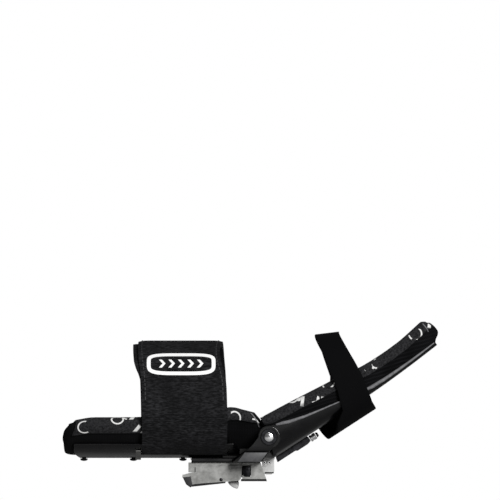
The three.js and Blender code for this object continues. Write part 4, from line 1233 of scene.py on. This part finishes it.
def hand_strap_point(row, share):
    """A point of the webbing, by its row round the hand and its share across."""
    turn = row / LOOP_STEPS * 360
    cos, sin = math.cos(math.radians(turn)), math.sin(math.radians(turn))
    power = TROUGH_POWER if cos > 0 else PALM_POWER
    size = (abs(sin) ** power + abs(cos) ** power) ** (-1 / power)
    depth = LOOP_THICK / 2
    wide = HAND_HALF + HAND_ROLL + GAP + HAND_SLACK + LOOP_THICK - depth
    reach = (LOOP_DROP if cos > 0 else LOOP_TOP - LOOP_MIDDLE) - depth
    left, right = (
        np.interp(turn, LOOP_EDGES["turn"], LOOP_EDGES[edge]) * HAND_LENGTH
        for edge in ("left", "right")
    )
    u = left + (right - left) * share
    lean = LOOP_LEAN * max(0, -size * cos) ** 2
    v = LOOP_MIDDLE - reach * size * cos + lean * (LOOP_CENTRE * HAND_LENGTH - u)
    return in_row(u, wide * size * sin, v)


hand_strap = strip("hand_strap_webbing", LOOP_STEPS + 1, LOOP_COLUMNS, hand_strap_point)
heal(hand_strap)
modify(hand_strap, "SOLIDIFY", thickness=(LOOP_THICK - 0.2) * MM, offset=0)
settings = {"width": 0.4 * MM, "segments": 2, "limit_method": "ANGLE"}
modify(hand_strap, "BEVEL", angle_limit=math.radians(50), **settings)
smooth(hand_strap, 50)
dress(hand_strap, webbing, "hand", "webbing", ["hand_strap"])

# %% [markdown]
# The support hangs in the air, as it does on an arm, over a plain pale floor. The air around it is
# white to the camera but dim to the lacquer, as behind a studio's dark screens. Steel and lacquer
# then stay deep, and only the lamps and the floor leave pale bands in them.

# %% Floor
FLOOR = -0.125
bpy.ops.mesh.primitive_plane_add(size=9, location=(0, 0, FLOOR))
floor = just_made("pale_floor")
pale, paper, _ = start_material("pale_paper", Roughness=0.9)
feed(paper["Base Color"], colour("b8b8b8"))
floor.data.materials.append(pale)
floor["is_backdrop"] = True

# %% [markdown]
# The photograph is taken from far away, level, and square to the forearm. One pixel is 0.675 mm,
# and the picture's middle is 44.6 mm toward the fingers and 96.4 mm above the forearm's axis. A
# parallel camera gives exactly that view of the near side, with no shift and no look down.

# %% Camera and light
MM_PER_PIXEL = 0.675
PICTURE = 500
DISTANCE = 1200
PICTURE_MIDDLE = (44.55, 96.4)
camera_data = bpy.data.cameras.new("camera")
camera_data.type = "ORTHO"
camera_data.ortho_scale = PICTURE * MM_PER_PIXEL * MM
camera_data.clip_end = 20
camera = new_object("camera", camera_data)
camera.location = Vector((PICTURE_MIDDLE[0], -DISTANCE, PICTURE_MIDDLE[1])) * MM
camera.rotation_euler = (math.radians(90), 0, 0)
bpy.context.scene.camera = camera


def soft_light(name, place, target, size, power):
    """A square soft light that faces a target."""
    data = bpy.data.lights.new(name, "AREA")
    data.size = size
    data.energy = power
    light = new_object(name, data)
    light.location = place
    light.rotation_euler = (Vector(target) - Vector(place)).to_track_quat("-Z", "Y").to_euler()


middle = (0.05, 0, 0)
soft_light("front", (0.85, -2.3, 0.68), middle, 0.7, 62)
soft_light("top", (0.1, -0.4, 1.4), middle, 0.45, 4.5)
world = bpy.data.worlds.new("studio")
world.use_nodes = True
world_tree = world.node_tree
seen = add(world_tree, "ShaderNodeLightPath").outputs["Is Camera Ray"]
background = world_tree.nodes["Background"].inputs
feed(background[0], colour("ffffff"))
feed(background[1], ramp(seen, 0, 1, 0.1, 1.0))
bpy.context.scene.world = world
bpy.context.scene.view_settings.view_transform = "Standard"

# %% The scene's bounds
low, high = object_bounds()
